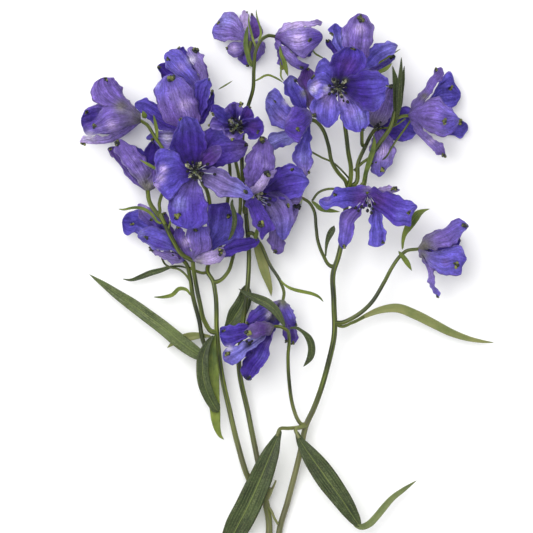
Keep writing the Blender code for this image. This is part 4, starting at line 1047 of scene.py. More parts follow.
        ((466, 258.5, 21), "427,251 441,250 452,245 460,246 464,254", 19,
         "425,260 436,271 446,277 454,274.5 460,275 462,267", 19, 3, OUTER, "dusk azure blue",
         (454.5, 265, 7)),
        ((438, 298, 13), "423,259 428,270 428.5,280 433,289", 11, "427,261 433,273 435.5,284 440,291", 16,
         1, OUTER, "mauve lilac azure", (438, 296, 5)),
        ((460, 240, 5), "444,230", 5, "446,255", 4, 2, INNER, "violet violet blue"),
        ((452, 266, 1.9), "441,252", 2.9, "433,271", 2.9, 2, INNER, "violet violet blue"),
    ), ((424, 246, 5, "moss"), (422, 256, 5, "moss"), (456, 252, 6, "azure"), (445, 262, 4, "mauve"),
        (440, 240, 5, "mauve"), (465, 232, 3, "sky"))),
    "floret_17": Floret((274, 326, 22), (-1.0, -0.3, 0.2), (
        ((220, 335, 21), "262,322 247,324 233,325 222,324.5", 20, "252,336 243,340.5 234,344 226,347", 21,
         1, INNER, "night violet blue", (223, 330, 4)),
        ((244, 333, 32), "266,321.5 255,322 248,326.5", 29, "270,334 260,336.5 250,337", 29, 2, OUTER,
         "moss plum dusk", (248, 332, 7)),
        ((224, 360, 26), "256,336 245,340 233,346 224,350", 26, "258,344 248,353 240,360 232,364", 26, 1,
         INNER, "dusk sky azure", (227, 354.5, 6)),
        ((247.5, 380, 22), "258,340 250,352 241,362 241,370", 20, "273,338 269,350 266,362 258,372.5", 25,
         2, INNER, "night violet violet", (249.5, 378, 5)),
        ((238, 352, 14), "251,337", 15, "256,352", 14, 2, INNER, "night violet violet"),
    ), ((229, 348, 3, "frost"), (262, 356, 5, "azure"), (248, 344, 4, "ink"), (246, 377, 4, "ink"),
        (268, 343, 4, "mauve"), (250, 364, 6, "deep"), (227, 357, 3, "dusk")),
        "249.5,343 252,341 247,341"),
    "floret_18": Floret((283, 300, 13), (-0.2, -1.0, 0.1), (
        ((246, 324, 12), "272,301 262,303.5 253,309 248,317", 13, "274,312 267,320 258,326", 12, 2, OUTER,
         "lilac violet violet"),
        ((296, 326, 18), "279,308 283,318 289,325.5", 19, "287,303 292,310 296,320", 14, 2, OUTER,
         "lilac violet deep"),
        ((287, 342.5, 12), "283,326 282.5,334", 13, "289,328 289.5,336", 13, 1, OUTER,
         "mauve mauve violet"),
        ((293, 344.5, 8), "288,326 289.5,338", 8, "296,328 297.5,337", 8, 1, OUTER, "mauve mauve violet"),
        ((268, 334, 7), "262,318", 7, "280,322", 7, 2, INNER, "violet violet blue"),
    ), ((271, 309, 4, "frost"), (273, 317, 5, "moss"), (269, 315, 3, "frost"), (259, 309, 5, "azure"),
        (283, 301, 6, "leaf"), (290, 316, 6, "azure"))),
    "floret_19": Floret((184, 261, 13), (-0.8, 0.6, 0.2), (
        ((122.5, 221, 10), "160,232 146,214 135,209 127,213", 9, "160,240 143,236 133,233.5 128.5,236", 10,
         2, INNER, "deep azure blue", (131.5, 224.5, 4)),
        ((138, 204.5, 15), "164,238 150,228 141,220 139,209", 14, "168,232 162,219 153,209 146,205.5", 14,
         2, INNER, "night violet lilac", (152, 220, 4)),
        ((138, 237, 20), "176,244 166,231 155,226 144,227.5", 20,
         "178,253 166,250.5 155,249.5 148,246 142,241", 18, 3, OUTER, "violet azure blue", (147, 237.5, 5)),
        ((149, 250, 12), "178,255 166,251 156,249", 14, "178,263 168,261 159,256 154,251.5", 8, 1, OUTER,
         "dusk lilac blush", (152, 249, 6)),
        ((165, 212, 8), "176,238 171,222 168,216", 8, "162,233 158,218", 7, 2, OUTER, "plum plum mauve"),
    ), ((141, 233, 4, "sky"), (160, 246, 6, "violet"), (144, 208, 4, "blush"))),
    "floret_20": Floret((193, 260, 16), (0.3, 0.95, 0.2), (
        ((179, 226.5, 18), "186,256 178,247 173.5,236 174,230", 17, "191,250 188,240 184,229", 22, 1, OUTER,
         "mauve mauve violet"),
        ((199, 226.5, 28), "191,250 187.5,240 186.5,231", 26, "200,254 212,247 211,237 210,228", 28, 2,
         OUTER, "mauve mauve azure", (196, 230.5, 5)),
        ((228, 203, 15), "205,245 208,228 207,213 210,204.5 220,204", 15,
         "222,246 241,239 243.5,228 241,215 232,211", 14, 2, INNER, "deep azure violet", (228, 216.5, 5)),
        ((259.5, 240, 21), "215,250 228,243.5 240,239 252,238", 22, "214,260 228,256 242,252.5 254,248.5",
         19, 1, INNER, "violet violet deep"),
        ((226, 253, 26), "203,252 213,249.5 222,248", 26, "203,263 213,264.5 221,261", 21, 2, OUTER,
         "lilac blush dusk", (221, 252.5, 7)),
    ), ((224, 232, 8, "azure"), (186, 242, 4, "blush"), (214, 212, 6, "violet"), (240, 228, 5, "violet"),
        (199, 262, 5, "moss"))),
    "floret_21": Floret((302, 198, 13), (-0.4, -0.6, 0.7), (
        ((276, 254, 14), "284,212 270,230 266,240 271,249", 15, "290,214 279,231 284.5,244 283.5,252", 12,
         1, OUTER, "mauve dusk mauve", (275, 252, 5)),
        ((283.5, 240, 6), "290,214 281,230", 8, "298,214 292,228", 7, 1, OUTER, "lilac lilac mauve",
         (291, 226, 4)),
        ((283, 198, 22), "300,195 290,194", 18, "300,203 290,204", 18, 1, OUTER, "lilac lilac mauve"),
        ((262, 214, 8), "274,200", 8, "274,219", 7, 1, INNER, "violet violet blue"),
        ((277, 182, 6), "280,196", 6, "291,183", 7, 1, INNER, "violet violet blue"),
    ), ()),
}

# Sepal tissue: wet, thin cells under a fine velvety skin. It takes light deep and gives it back
# saturated, the veins show darker than the ground, and the skin adds a pale bloom at its edges.
SEPAL_VEIN_COUNT = 11.0
SEPAL_FINE_VEIN_COUNT = 29.0
SEPAL_STREAKS = (34.0, 2.6, 1.0)
SEPAL_SWAY = 3.5 * MM
SEPAL_MOTTLE = 4.0 * MM
SEPAL_PAINTED_GLINT = 1.1 * MM
SEPAL_CELL = 0.28 * MM
SEPAL_SHEEN = "#b9b4ff"


def sepal_material(name, vein_code, vein_share, streak_share, roughness):
    """Sepal tissue in the tones of its corners, with fanning veins, mottling, painted glints and velvety
    cells.
    """
    made, tree, shader, place = new_material(name)
    tissue = add_node(tree, "ShaderNodeAttribute", attribute_name="tissue").outputs["Color"]
    flat_place = add_node(tree, "ShaderNodeUVMap", uv_map="blade")
    parts = add_node(tree, "ShaderNodeSeparateXYZ", {0: flat_place})
    wander = add_node(tree, "ShaderNodeTexNoise", {
        "Vector": place, "Scale": 1 / SEPAL_SWAY, "Detail": 2.0})

    def lines(count, sway, width):
        """Lines that fan along the sepal, so many across it."""
        spread = add_node(tree, "ShaderNodeMath", {
            0: parts.outputs["X"], 1: count}, operation="MULTIPLY")
        swayed = add_node(tree, "ShaderNodeMath", {
            0: wander, 1: sway, 2: spread}, operation="MULTIPLY_ADD")
        folded = add_node(tree, "ShaderNodeMath", {0: swayed, 1: 0.5}, operation="PINGPONG")
        return add_node(tree, "ShaderNodeMapRange", {
            "Value": folded, "From Min": 0.0, "From Max": width, "To Min": 1.0,
            "To Max": 0.0}, interpolation_type="SMOOTHSTEP")

    main_veins = lines(SEPAL_VEIN_COUNT, 2.4, 0.2)
    fine_veins = lines(SEPAL_FINE_VEIN_COUNT, 6.0, 0.3)
    veins = add_node(tree, "ShaderNodeMath", {
        0: fine_veins, 1: 0.4, 2: main_veins}, operation="MULTIPLY_ADD")
    vein_amount = add_node(tree, "ShaderNodeMath", {0: veins, 1: vein_share}, operation="MULTIPLY")
    veined = add_node(tree, "ShaderNodeMix", {
        0: vein_amount, 6: tissue, 7: colour(vein_code)}, data_type="RGBA").outputs[2]
    mottle = add_node(tree, "ShaderNodeTexNoise", {
        "Vector": place, "Scale": 1 / SEPAL_MOTTLE, "Detail": 5.0, "Roughness": 0.62})
    brightness = add_node(tree, "ShaderNodeMapRange", {
        "Value": mottle, "From Min": 0.3, "From Max": 0.7, "To Min": 0.62, "To Max": 1.4})
    streak_place = add_node(tree, "ShaderNodeVectorMath", {
        0: flat_place, 1: SEPAL_STREAKS}, operation="MULTIPLY")
    streak_shift = add_node(tree, "ShaderNodeVectorMath", {0: place, 1: streak_place}, operation="ADD")
    streaks = add_node(tree, "ShaderNodeTexNoise", {
        "Vector": streak_shift, "Scale": 1.0, "Detail": 4.0, "Roughness": 0.6})
    streaked = add_node(tree, "ShaderNodeMapRange", {
        "Value": streaks, "From Min": 0.3, "From Max": 0.7, "To Min": 1 - streak_share,
        "To Max": 1 + streak_share})
    # Painted glints of the velvety skin: fine specks that brighten and darken the tissue a little.
    painted_glints = add_node(tree, "ShaderNodeTexNoise", {
        "Vector": place, "Scale": 1 / SEPAL_PAINTED_GLINT, "Detail": 2.0})
    speckled = add_node(tree, "ShaderNodeMapRange", {
        "Value": painted_glints, "From Min": 0.35, "From Max": 0.7, "To Min": 0.88, "To Max": 1.2})
    in_streaks = add_node(tree, "ShaderNodeMath", {0: brightness, 1: streaked}, operation="MULTIPLY")
    in_specks = add_node(tree, "ShaderNodeMath", {0: in_streaks, 1: speckled}, operation="MULTIPLY")
    mottled = add_node(tree, "ShaderNodeVectorMath", {0: veined, "Scale": in_specks}, operation="SCALE")
    cells = add_node(tree, "ShaderNodeTexVoronoi", {"Vector": place, "Scale": 1 / SEPAL_CELL})
    veined_relief = add_node(tree, "ShaderNodeMath", {
        0: cells.outputs["Distance"], 1: 0.25, 2: veins}, operation="MULTIPLY_ADD")
    relief = add_node(tree, "ShaderNodeMath", {
        0: streaks, 1: 3.0, 2: veined_relief}, operation="MULTIPLY_ADD")
    bump = add_node(tree, "ShaderNodeBump", {"Height": relief, "Strength": 0.7, "Distance": 0.3 * MM})
    set_inputs(tree, shader, {
        "Base Color": mottled, "Normal": bump, "Roughness": roughness, "IOR": 1.4,
        "Specular IOR Level": 0.35, "Subsurface Weight": 0.15, "Subsurface Scale": 1.2 * MM,
        "Subsurface Radius": (0.6, 0.35, 1.0), "Sheen Weight": 0.12, "Sheen Roughness": 0.4,
        "Sheen Tint": colour(SEPAL_SHEEN)})
    return made


inner_tissue = sepal_material("velvety_sepal_inside", "#2f1b78", 0.3, 0.2, 0.5)
outer_tissue = sepal_material("veined_sepal_outside", "#4b3178", 0.42, 0.36, 0.45)

SEPAL_ROWS = 44
SEPAL_COLUMNS = 23
SEPAL_THICKNESS = 0.32 * MM
SEPAL_WIDEST_AT = 0.58
# The outline of a hidden sepal: shares of its length, and of its half width there.
HIDDEN_OUTLINE = ((0.26, 0.66), (SEPAL_WIDEST_AT, 1.0), (0.88, 0.72))
SEPAL_FULL_WIDTH = 15 * MM
SEPAL_FULL_LENGTH = 26 * MM
SEPAL_CUP = 1.35
SEPAL_LIP = 0.6 * MM
LIP_FROM = 0.8
LIP_LENGTH = 0.2
# Pleats run along a sepal, ruffles and notches along its margins. Each is a sum of waves, which
# have their beats over the sepal's width or length, and their reaches.
SEPAL_PLEAT = 0.55 * MM
FEWEST_PLEATS = 2.6
MORE_PLEATS = 1.6
PLEAT_BEATS = (1.0, 2.3)
PLEAT_REACHES = (1.0, 0.6)
SEPAL_RUFFLE = 0.95 * MM
RUFFLE_BEATS = (1.7, 4.2, 8.7)
RUFFLE_REACHES = (1.0, 0.6, 0.35)
SEPAL_NOTCH = 0.5 * MM
NOTCH_BEATS = (2.3, 4.9, 8.3, 13.7)
NOTCH_REACHES = (1.3, 0.9, 0.42, 0.18)
# How the tones go over into each other on a sepal.
MIDDLE_TONE_AT = 0.5
EDGE_FROM = 0.72
EDGE_SHARE = 0.3
EDGE_TONES = {INNER: "azure", OUTER: "lilac"}
PATCH_SPREAD = 1.1
PATCH_SHARE = 0.85
# How strongly painted shade and light follow the pleats.
FOLD_SHADE = 0.16
HIDDEN_TONES = {INNER: "mauve mauve violet", OUTER: "night violet blue"}
TABLE_GAP = 0.5 * MM
# How strongly a gland is raised from the face that is on top.
GLAND_RISE = {OUTER: 0.8, INNER: 0.35}
HIDDEN_GLAND_RISE = 0.7
HIDDEN_GLAND_STEPS = 4.0
HIDDEN_GLAND_PLACE = (SEPAL_ROWS - 4, SEPAL_COLUMNS // 2)
GLAND_CLEARANCE = 0.72


def places_of(pairs):
    """The columns and rows of an outline that is written as column,row pairs."""
    return [tuple(float(number) for number in pair.split(",")) for pair in pairs.split()]


def margin_knots(base, tip, margin, height):
    """A sepal margin's knots in space, from its places on the drawing. One place gives three."""
    places = places_of(margin)
    if len(places) == 1:
        chord = tip - base
        widest = base + chord * SEPAL_WIDEST_AT
        reach = spot(*places[0], height) - widest
        return [base + chord * t + reach * width for t, width in HIDDEN_OUTLINE]
    chord = (tip - base)[:2]
    knots = []
    for column, row in places:
        knot = spot(column, row, 0)
        u = float(np.clip((knot - base)[:2] @ chord / (chord @ chord), 0.0, 1.0))
        knot[2] = (
            base[2] * (1 - u) * (1 - 2 * u) + height * MM * 4 * u * (1 - u) + tip[2] * u * (2 * u - 1))
        knots.append(knot)
    return knots


def sepal_sheet(base, sepal, patches, seed):
    """A sepal as a closed sheet with the tones of both faces, its grid of points and the normals."""
    tip = spot(*sepal.tip)
    one = margin_knots(base, tip, sepal.one, sepal.one_height)
    other = margin_knots(base, tip, sepal.other, sepal.other_height)
    loop = [other[0], base, *one, tip, *other[::-1], base, one[0]]
    rows_at, places = smooth_curve(loop)
    tip_number = 2 + len(one)
    last_number = len(loop) - 2
    share = np.linspace(0.0, 1.0, SEPAL_ROWS)
    left = rows_at(places[1] + (places[tip_number] - places[1]) * share)
    right = rows_at(places[last_number] + (places[tip_number] - places[last_number]) * share)
    chord = tip - base
    length = np.linalg.norm(chord)
    inward = np.cross(right[SEPAL_ROWS // 2] - left[SEPAL_ROWS // 2], chord)
    inward /= np.linalg.norm(inward)
    if inward[2] * sepal.face < 0:
        inward = -inward
    chance = np.random.default_rng(seed)
    phase = chance.uniform(0, 2 * math.pi, 10)
    size = np.clip(length / SEPAL_FULL_LENGTH, 0.4, 1.1)
    side = np.linspace(-1.0, 1.0, SEPAL_COLUMNS)
    t = share[:, None]
    s = side[None, :]
    rise = np.clip(np.sin(math.pi * t), 0, 1)
    ends = np.clip(rise * 2.5, 0, 1)
    notches = []
    for _ in range(2):
        turns = chance.uniform(0, 2 * math.pi, 4)
        reaches = chance.uniform(0.2, 1, 4) * NOTCH_REACHES
        notches.append(sum(
            np.sin(2 * math.pi * beat * t + turn) * reach
            for beat, turn, reach in zip(NOTCH_BEATS, turns, reaches)))
    notch = SEPAL_NOTCH * size * ends * np.where(s < 0, notches[0], notches[1])
    across = right - left
    across /= np.maximum(np.linalg.norm(across, axis=1, keepdims=True), 1e-9)
    grid = left[:, None, :] * (1 - s[:, :, None]) / 2 + right[:, None, :] * (1 + s[:, :, None]) / 2
    grid = grid + across[:, None, :] * (notch * s * np.abs(s))[:, :, None]
    width = np.linalg.norm(right - left, axis=1).max()
    pleats = FEWEST_PLEATS + chance.uniform(0, MORE_PLEATS)
    pleats = pleats * np.clip(width / SEPAL_FULL_WIDTH, 0.35, 1.0)
    depth = -sepal.bow * SEPAL_CUP * MM * 4 * t * (1 - t) * (1 - s ** 2)

    def folds(across_share):
        """How high the sepal's lengthwise pleats stand at a share across it."""
        return sum(
            reach * np.cos(math.pi * beat * pleats * across_share + turn)
            for beat, reach, turn in zip(PLEAT_BEATS, PLEAT_REACHES, phase[2:4]))

    depth = depth + SEPAL_PLEAT * size * rise ** 0.7 * (0.3 + 0.9 * t) * folds(s)
    for number, sign in enumerate((-1, 1)):
        margin = np.clip(s * sign, 0, 1) ** 3
        turns = (phase[4 + number], phase[6 + number], phase[number])
        wave = sum(
            reach * np.sin(2 * math.pi * beat * t + turn)
            for beat, reach, turn in zip(RUFFLE_BEATS, RUFFLE_REACHES, turns))
        depth = depth + SEPAL_RUFFLE * size * margin * wave * ends
    lip = np.clip((t - LIP_FROM) / LIP_LENGTH, 0, 1) ** 2 * (1 - s ** 2) * np.clip(1 - t, 0, 1) * 8
    depth = depth + SEPAL_LIP * size * lip
    grid = grid + inward * depth[:, :, None]
    grid[0] = base
    grid[-1] = tip
    grid[:, :, 2] = np.maximum(grid[:, :, 2], TABLE_GAP)
    points, faces, fronts, flat, normals = closed_sheet(grid, SEPAL_THICKNESS, inward)

    t_points = flat[:, 1:2]
    s_points = flat[:, 0:1] * 2 - 1
    lower = np.clip(t_points / MIDDLE_TONE_AT, 0, 1)
    upper = np.clip((t_points - MIDDLE_TONE_AT) / (1 - MIDDLE_TONE_AT), 0, 1)

    def toned(tones):
        """The colours of the sheet's points when three tones run from the foot to the tip."""
        foot_tone, middle_tone, tip_tone = (TONES[tone] for tone in tones.split())
        blended = foot_tone * (1 - lower) + middle_tone * lower
        return blended * (1 - upper) + tip_tone * upper

    shown = toned(sepal.tones)
    edge = np.clip((np.abs(s_points) - EDGE_FROM) / (1 - EDGE_FROM), 0, 1) ** 2 * EDGE_SHARE
    shown = shown * (1 - edge) + TONES[EDGE_TONES[sepal.face]] * edge
    columns = points[:, 0] / DRAWING_STEP + CENTRE_COLUMN
    rows = CENTRE_ROW - points[:, 1] / DRAWING_STEP
    for column, row, radius, tone in patches:
        distance = (columns - column) ** 2 + (rows - row) ** 2
        near = np.exp(-distance / (PATCH_SPREAD * radius ** 2))[:, None]
        shown = shown * (1 - PATCH_SHARE * near) + TONES[tone] * PATCH_SHARE * near
    # Painted shade and light of the folds: the tissue is darker and lighter in stripes along the pleats.
    painted_fold_shade = 1 + FOLD_SHADE * folds(s_points) * np.sin(math.pi * np.clip(t_points, 0, 1)) ** 0.7
    shown = shown * painted_fold_shade
    hidden = toned(HIDDEN_TONES[sepal.face])
    front_colours, back_colours = (shown, hidden) if sepal.face == INNER else (hidden, shown)
    sheet = {"points": points, "faces": faces, "fronts": fronts, "flat": flat,
             "front_colours": front_colours, "back_colours": back_colours}
    return sheet, grid, normals


gland_places = []
for number, (floret_name, floret) in enumerate(FLORETS.items()):
    base = spot(*floret.base)
    sheets = []
    for index, row in enumerate(floret.sepals):
        sepal = Sepal(*row)
        sheet, grid, normals = sepal_sheet(base, sepal, floret.patches, 1000 + 10 * number + index)
        sheets.append(sheet)
        if sepal.gland == NO_GLAND:
            continue
        if sepal.gland:
            column, row, width = sepal.gland
            target = spot(column, row, 0)
            away = np.linalg.norm(grid[:, :, :2] - target[:2], axis=2)
            away[0] = 1.0
            at = np.unravel_index(np.argmin(away), away.shape)
            outward = normals[at] * sepal.face
            raised = GLAND_RISE[sepal.face]
        else:
            width = HIDDEN_GLAND_STEPS
            at = HIDDEN_GLAND_PLACE
            outward = -normals[at]
            raised = HIDDEN_GLAND_RISE
        gland_width = width * DRAWING_STEP
        point = grid[at] + outward * SEPAL_THICKNESS / 2
        point[2] = max(point[2], GLAND_CLEARANCE * gland_width)
        gland_places.append((*point, gland_width, raised, *outward))
    piece = sheet_object(floret_name + "_sepals", sheets, [inner_tissue, outer_tissue])
    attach(piece, "root")
    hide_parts(floret_name)


# The glands: a knobby thickening near the tip of each sepal, dark green to black with
# yellow-green lumps. It is the sepal's own tissue, hardened and standing a little proud.

GLAND_LUMPS = 12
GLAND_LUMP_SEGMENTS = 8
GLAND_LUMP_RINGS = 5
LEAST_LUMP_SHARE = 0.13
MOST_LUMP_SHARE = 0.3
GLAND_SPREAD = 0.34
GLAND_LIFT = 0.25
GLAND_SPECK = 0.6 * MM
GLAND_BLACK = "#181d1c"
GLAND_RIPE = "#aab04a"

# Gland tissue: hardened, knobby and slightly wet, so it shines in small points, nearly black with
# yellow-green where a lump is riper.
gland_tissue, tree, gland_shader, place = new_material("hardened_gland_tissue")
ripe = add_node(tree, "ShaderNodeAttribute", attribute_name="ripe").outputs["Fac"]
specks = add_node(tree, "ShaderNodeTexNoise", {
    "Vector": place, "Scale": 1 / GLAND_SPECK, "Detail": 3.0})
ripe_share = add_node(tree, "ShaderNodeMapRange", {"Value": ripe, "From Min": 0.5, "From Max": 1.0})
speckled = add_node(tree, "ShaderNodeMath", {0: specks, 1: ripe_share}, operation="MULTIPLY")
gland_colour = add_node(tree, "ShaderNodeMix", {
    0: speckled, 6: colour(GLAND_BLACK), 7: colour(GLAND_RIPE)}, data_type="RGBA").outputs[2]
gland_bump = add_node(tree, "ShaderNodeBump", {"Height": specks, "Strength": 0.4, "Distance": 0.1 * MM})
set_inputs(tree, gland_shader, {
    "Base Color": gland_colour, "Normal": gland_bump, "Roughness": 0.38, "IOR": 1.45})

gland_tree, given = open_tree("lumpy_gland", {
    "Lumps": "NodeSocketInt",
    "Spread": "NodeSocketFloat",
    "Seed": "NodeSocketInt",
    "Skin": "NodeSocketMaterial",
})
spots = add_node(gland_tree, "GeometryNodeMeshToPoints", {"Mesh": given["Geometry"]})
lump_points = add_node(gland_tree, "GeometryNodeDuplicateElements", {
    "Geometry": spots, "Amount": given["Lumps"]}, domain="POINT")
gland_width = add_node(gland_tree, "GeometryNodeInputNamedAttribute", {"Name": "gland_width"})
raised = add_node(gland_tree, "GeometryNodeInputNamedAttribute", {"Name": "raised"})
outward = add_node(gland_tree, "GeometryNodeInputNamedAttribute", {
    "Name": "outward"}, data_type="FLOAT_VECTOR")
scatter = add_node(gland_tree, "FunctionNodeRandomValue", {
    0: (-1.0, -1.0, -1.0), 1: (1.0, 1.0, 1.0), "Seed": given["Seed"]}, data_type="FLOAT_VECTOR")
height_part = add_node(gland_tree, "ShaderNodeVectorMath", {
    0: scatter, 1: outward}, operation="DOT_PRODUCT")
upright = add_node(gland_tree, "ShaderNodeVectorMath", {
    0: outward, "Scale": height_part.outputs["Value"]}, operation="SCALE")
level = add_node(gland_tree, "ShaderNodeVectorMath", {0: scatter, 1: upright}, operation="SUBTRACT")
lift = add_node(gland_tree, "ShaderNodeVectorMath", {0: outward, "Scale": raised}, operation="SCALE")
eased_lift = add_node(gland_tree, "ShaderNodeVectorMath", {
    0: lift, "Scale": GLAND_LIFT}, operation="SCALE")
moved = add_node(gland_tree, "ShaderNodeVectorMath", {0: level, 1: eased_lift}, operation="ADD")
reach = add_node(gland_tree, "ShaderNodeMath", {
    0: gland_width, 1: given["Spread"]}, operation="MULTIPLY")
lump_offset = add_node(gland_tree, "ShaderNodeVectorMath", {
    0: moved, "Scale": reach}, operation="SCALE")
spread_points = add_node(gland_tree, "GeometryNodeSetPosition", {
    "Geometry": lump_points, "Offset": lump_offset})
lump = add_node(gland_tree, "GeometryNodeMeshUVSphere", {
    "Segments": GLAND_LUMP_SEGMENTS, "Rings": GLAND_LUMP_RINGS, "Radius": 1.0})
lump_size = add_node(gland_tree, "FunctionNodeRandomValue", {
    2: LEAST_LUMP_SHARE, 3: MOST_LUMP_SHARE, "Seed": given["Seed"]}, data_type="FLOAT")
lump_radius = add_node(gland_tree, "ShaderNodeMath", {
    0: gland_width, 1: lump_size.outputs[1]}, operation="MULTIPLY")
lumps = add_node(gland_tree, "GeometryNodeInstanceOnPoints", {
    "Points": spread_points, "Instance": lump, "Scale": lump_radius})
ripeness = add_node(gland_tree, "FunctionNodeRandomValue", {
    2: 0.0, 3: 1.0, "Seed": 9}, data_type="FLOAT")
marked_lumps = add_node(gland_tree, "GeometryNodeStoreNamedAttribute", {
    "Geometry": lumps, "Name": "ripe", "Value": ripeness.outputs[1]}, domain="INSTANCE")
close_tree(gland_tree, marked_lumps, given["Skin"])

gland_rows = np.array(gland_places)
gland_mesh = bpy.data.meshes.new("gland_spots")
gland_mesh.from_pydata(gland_rows[:, :3].tolist(), [], [])
for channel, column in (("gland_width", 3), ("raised", 4)):
    values = np.ascontiguousarray(gland_rows[:, column], dtype=np.float32)
    gland_mesh.attributes.new(channel, "FLOAT", "POINT").data.foreach_set("value", values)
directions = gland_mesh.attributes.new("outward", "FLOAT_VECTOR", "POINT")
directions.data.foreach_set("vector", gland_rows[:, 5:8].astype(np.float32).ravel())
glands = grow("glands", gland_mesh, gland_tree, {
    "Lumps": GLAND_LUMPS, "Spread": GLAND_SPREAD, "Seed": 4, "Skin": gland_tissue})
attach(glands, "root")


# The inner petals: four small pale tongues round the middle of each floret that is open to the
# top, thin and hairy. They stand up from the same foot as the sepals and lean out over them.

OPEN_TO_TOP = 0.5
INNER_PETAL_COUNT = 4
INNER_PETAL_LENGTH = 5.6 * MM
INNER_PETAL_WIDTH_STEPS = 3.4
INNER_PETAL_KEEL = 0.5
INNER_PETAL_WAVE = 0.35 * MM
PETAL_HAIR = 0.55 * MM
PETAL_SHADE = "#4e4b4a"
PETAL_WHITE = "#b4b68e"
# How far out along the petal, how high above its foot in mm, and how wide there.
INNER_PETAL_PROFILE = (
    (0.06, 0.6, 0.3), (0.3, 2.4, 0.6), (0.62, 4.2, 1.0), (0.88, 4.9, 0.9), (1.0, 4.9, 0.2))

# Inner petal tissue: thin and nearly colourless under a coat of fine hairs, so it looks dull,
# greenish white and mottled, with no shine.
petal_tissue, tree, petal_shader, place = new_material("pale_hairy_inner_petal")
hairs = add_node(tree, "ShaderNodeTexNoise", {"Vector": place, "Scale": 1 / PETAL_HAIR, "Detail": 4.0})
haired = add_node(tree, "ShaderNodeMapRange", {"Value": hairs, "From Min": 0.38, "From Max": 0.62})
petal_colour = add_node(tree, "ShaderNodeMix", {
    0: haired, 6: colour(PETAL_SHADE), 7: colour(PETAL_WHITE)}, data_type="RGBA").outputs[2]
petal_bump = add_node(tree, "ShaderNodeBump", {"Height": hairs, "Strength": 0.6, "Distance": 0.3 * MM})
set_inputs(tree, petal_shader, {"Base Color": petal_colour, "Normal": petal_bump, "Roughness": 0.6})

petal_sheets = []
for number, floret in enumerate(FLORETS.values()):
    if not floret.anthers or floret.facing[2] < OPEN_TO_TOP:
        continue
    chance = np.random.default_rng(300 + number)
    facing = np.array(floret.facing) / np.linalg.norm(floret.facing)
    level = np.cross((0.0, 1.0, 0.0), facing)
    level /= np.linalg.norm(level)
    upright = np.cross(facing, level)
    first_angle = chance.uniform(0, math.pi)
    for index in range(INNER_PETAL_COUNT):
        angle = first_angle + 2 * math.pi * index / INNER_PETAL_COUNT + chance.uniform(-0.3, 0.3)
        reach = INNER_PETAL_LENGTH * chance.uniform(0.8, 1.1)
        out = level * math.cos(angle) + upright * math.sin(angle)
        knots = []
        for share, lift, width in INNER_PETAL_PROFILE:
            x, y, z = (out * reach * share + facing * lift * MM) / DRAWING_STEP
            column, row, height = floret.base
            knots.append((
                column + x, row - y, height + z * DRAWING_STEP / MM, INNER_PETAL_WIDTH_STEPS * width))
        seed = 400 + 10 * number + index
        petal_sheets.append(leaf_sheet(knots, INNER_PETAL_KEEL, INNER_PETAL_WAVE, seed))
inner_petals = sheet_object("inner_petals", petal_sheets, [petal_tissue])
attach(inner_petals, "root")


# The stamens and carpels: in the middle of each floret a tuft of pale filaments with black
# anthers, round three little green seed pods. They grow from the end of the pedicel.

FILAMENT_DIAMETER = 0.42 * MM
FILAMENT_SIDES = 7
FILAMENT_MOTTLE = 1.2 * MM
FILAMENT_FOOT = "#a9b06a"
FILAMENT_TOP = "#b9bcc6"
FILAMENT_TOP_AT = 7 * MM
ANTHER_LENGTH = 1.9 * MM
ANTHER_WIDTH_SHARE = 0.78
ANTHER_BLACK = "#0c0b14"
POLLEN = "#4a4638"
POLLEN_GRAIN = 0.25 * MM
CARPEL_DIAMETER = 1.2 * MM
CARPEL_GREEN = "#8a9a3a"
CARPEL_DOWN = "#c3caa0"
CARPEL_PATCH = 0.8 * MM
CARPEL_TURNS = (0.0, 0.33, 0.67)
TUFT_FILAMENTS = 16
HIDDEN_TUFT_FILAMENTS = 9
ANTHER_LEAST_RISE = 0.5
# The most that a filament of an open tuft leans upwards as it leans aside.
TUFT_LEAN_UP = 0.1
# From and to how many mm filaments reach out of the floret, spread sideways and bend.
FILAMENT_REACH = (5.5, 7.5)
TUFT_REACH = (4.0, 7.0)
TUFT_SPREAD = (1.0, 4.6)
HIDDEN_TUFT_SPREAD = (0.3, 2.2)
FILAMENT_BEND = (0.2, 0.9)
CARPEL_LENGTH_MM = 5
CARPEL_MIDDLE_MM = 2
CARPEL_LEAN_MM = 0.8
CARPEL_TOP_LEAN = 1.3
# The tuft of a floret that faces sideways starts lower, inside the cup of its sepals.
TUFT_SINK = 4.0 * MM

# Filament tissue: soft watery threads that let light through, greenish at the foot and bluish
# white near the anther.
filament_tissue, tree, filament_shader, place = new_material("pale_filament_tissue")
along = add_node(tree, "ShaderNodeAttribute", attribute_name="along").outputs["Fac"]
rise = add_node(tree, "ShaderNodeMapRange", {
    "Value": along, "From Min": 0.0, "From Max": FILAMENT_TOP_AT})
mottle = add_node(tree, "ShaderNodeTexNoise", {"Vector": place, "Scale": 1 / FILAMENT_MOTTLE})
wandering = add_node(tree, "ShaderNodeMath", {0: mottle, 1: 0.4, 2: rise}, operation="MULTIPLY_ADD")
filament_colour = add_node(tree, "ShaderNodeMix", {
    0: wandering, 6: colour(FILAMENT_FOOT), 7: colour(FILAMENT_TOP)}, data_type="RGBA").outputs[2]
set_inputs(tree, filament_shader, {
    "Base Color": filament_colour, "Roughness": 0.5, "Subsurface Weight": 0.15,
    "Subsurface Scale": 0.5 * MM})

# Anther skin: a dry black sac dusted with a little pollen, so it is dark and matt with dull specks.
anther_skin, tree, anther_shader, place = new_material("dusty_black_anther")
dust = add_node(tree, "ShaderNodeTexNoise", {"Vector": place, "Scale": 1 / POLLEN_GRAIN, "Detail": 2.0})
dusty = add_node(tree, "ShaderNodeMapRange", {"Value": dust, "From Min": 0.62, "From Max": 0.85})
anther_colour = add_node(tree, "ShaderNodeMix", {
    0: dusty, 6: colour(ANTHER_BLACK), 7: colour(POLLEN)}, data_type="RGBA").outputs[2]
set_inputs(tree, anther_shader, {"Base Color": anther_colour, "Roughness": 0.7})

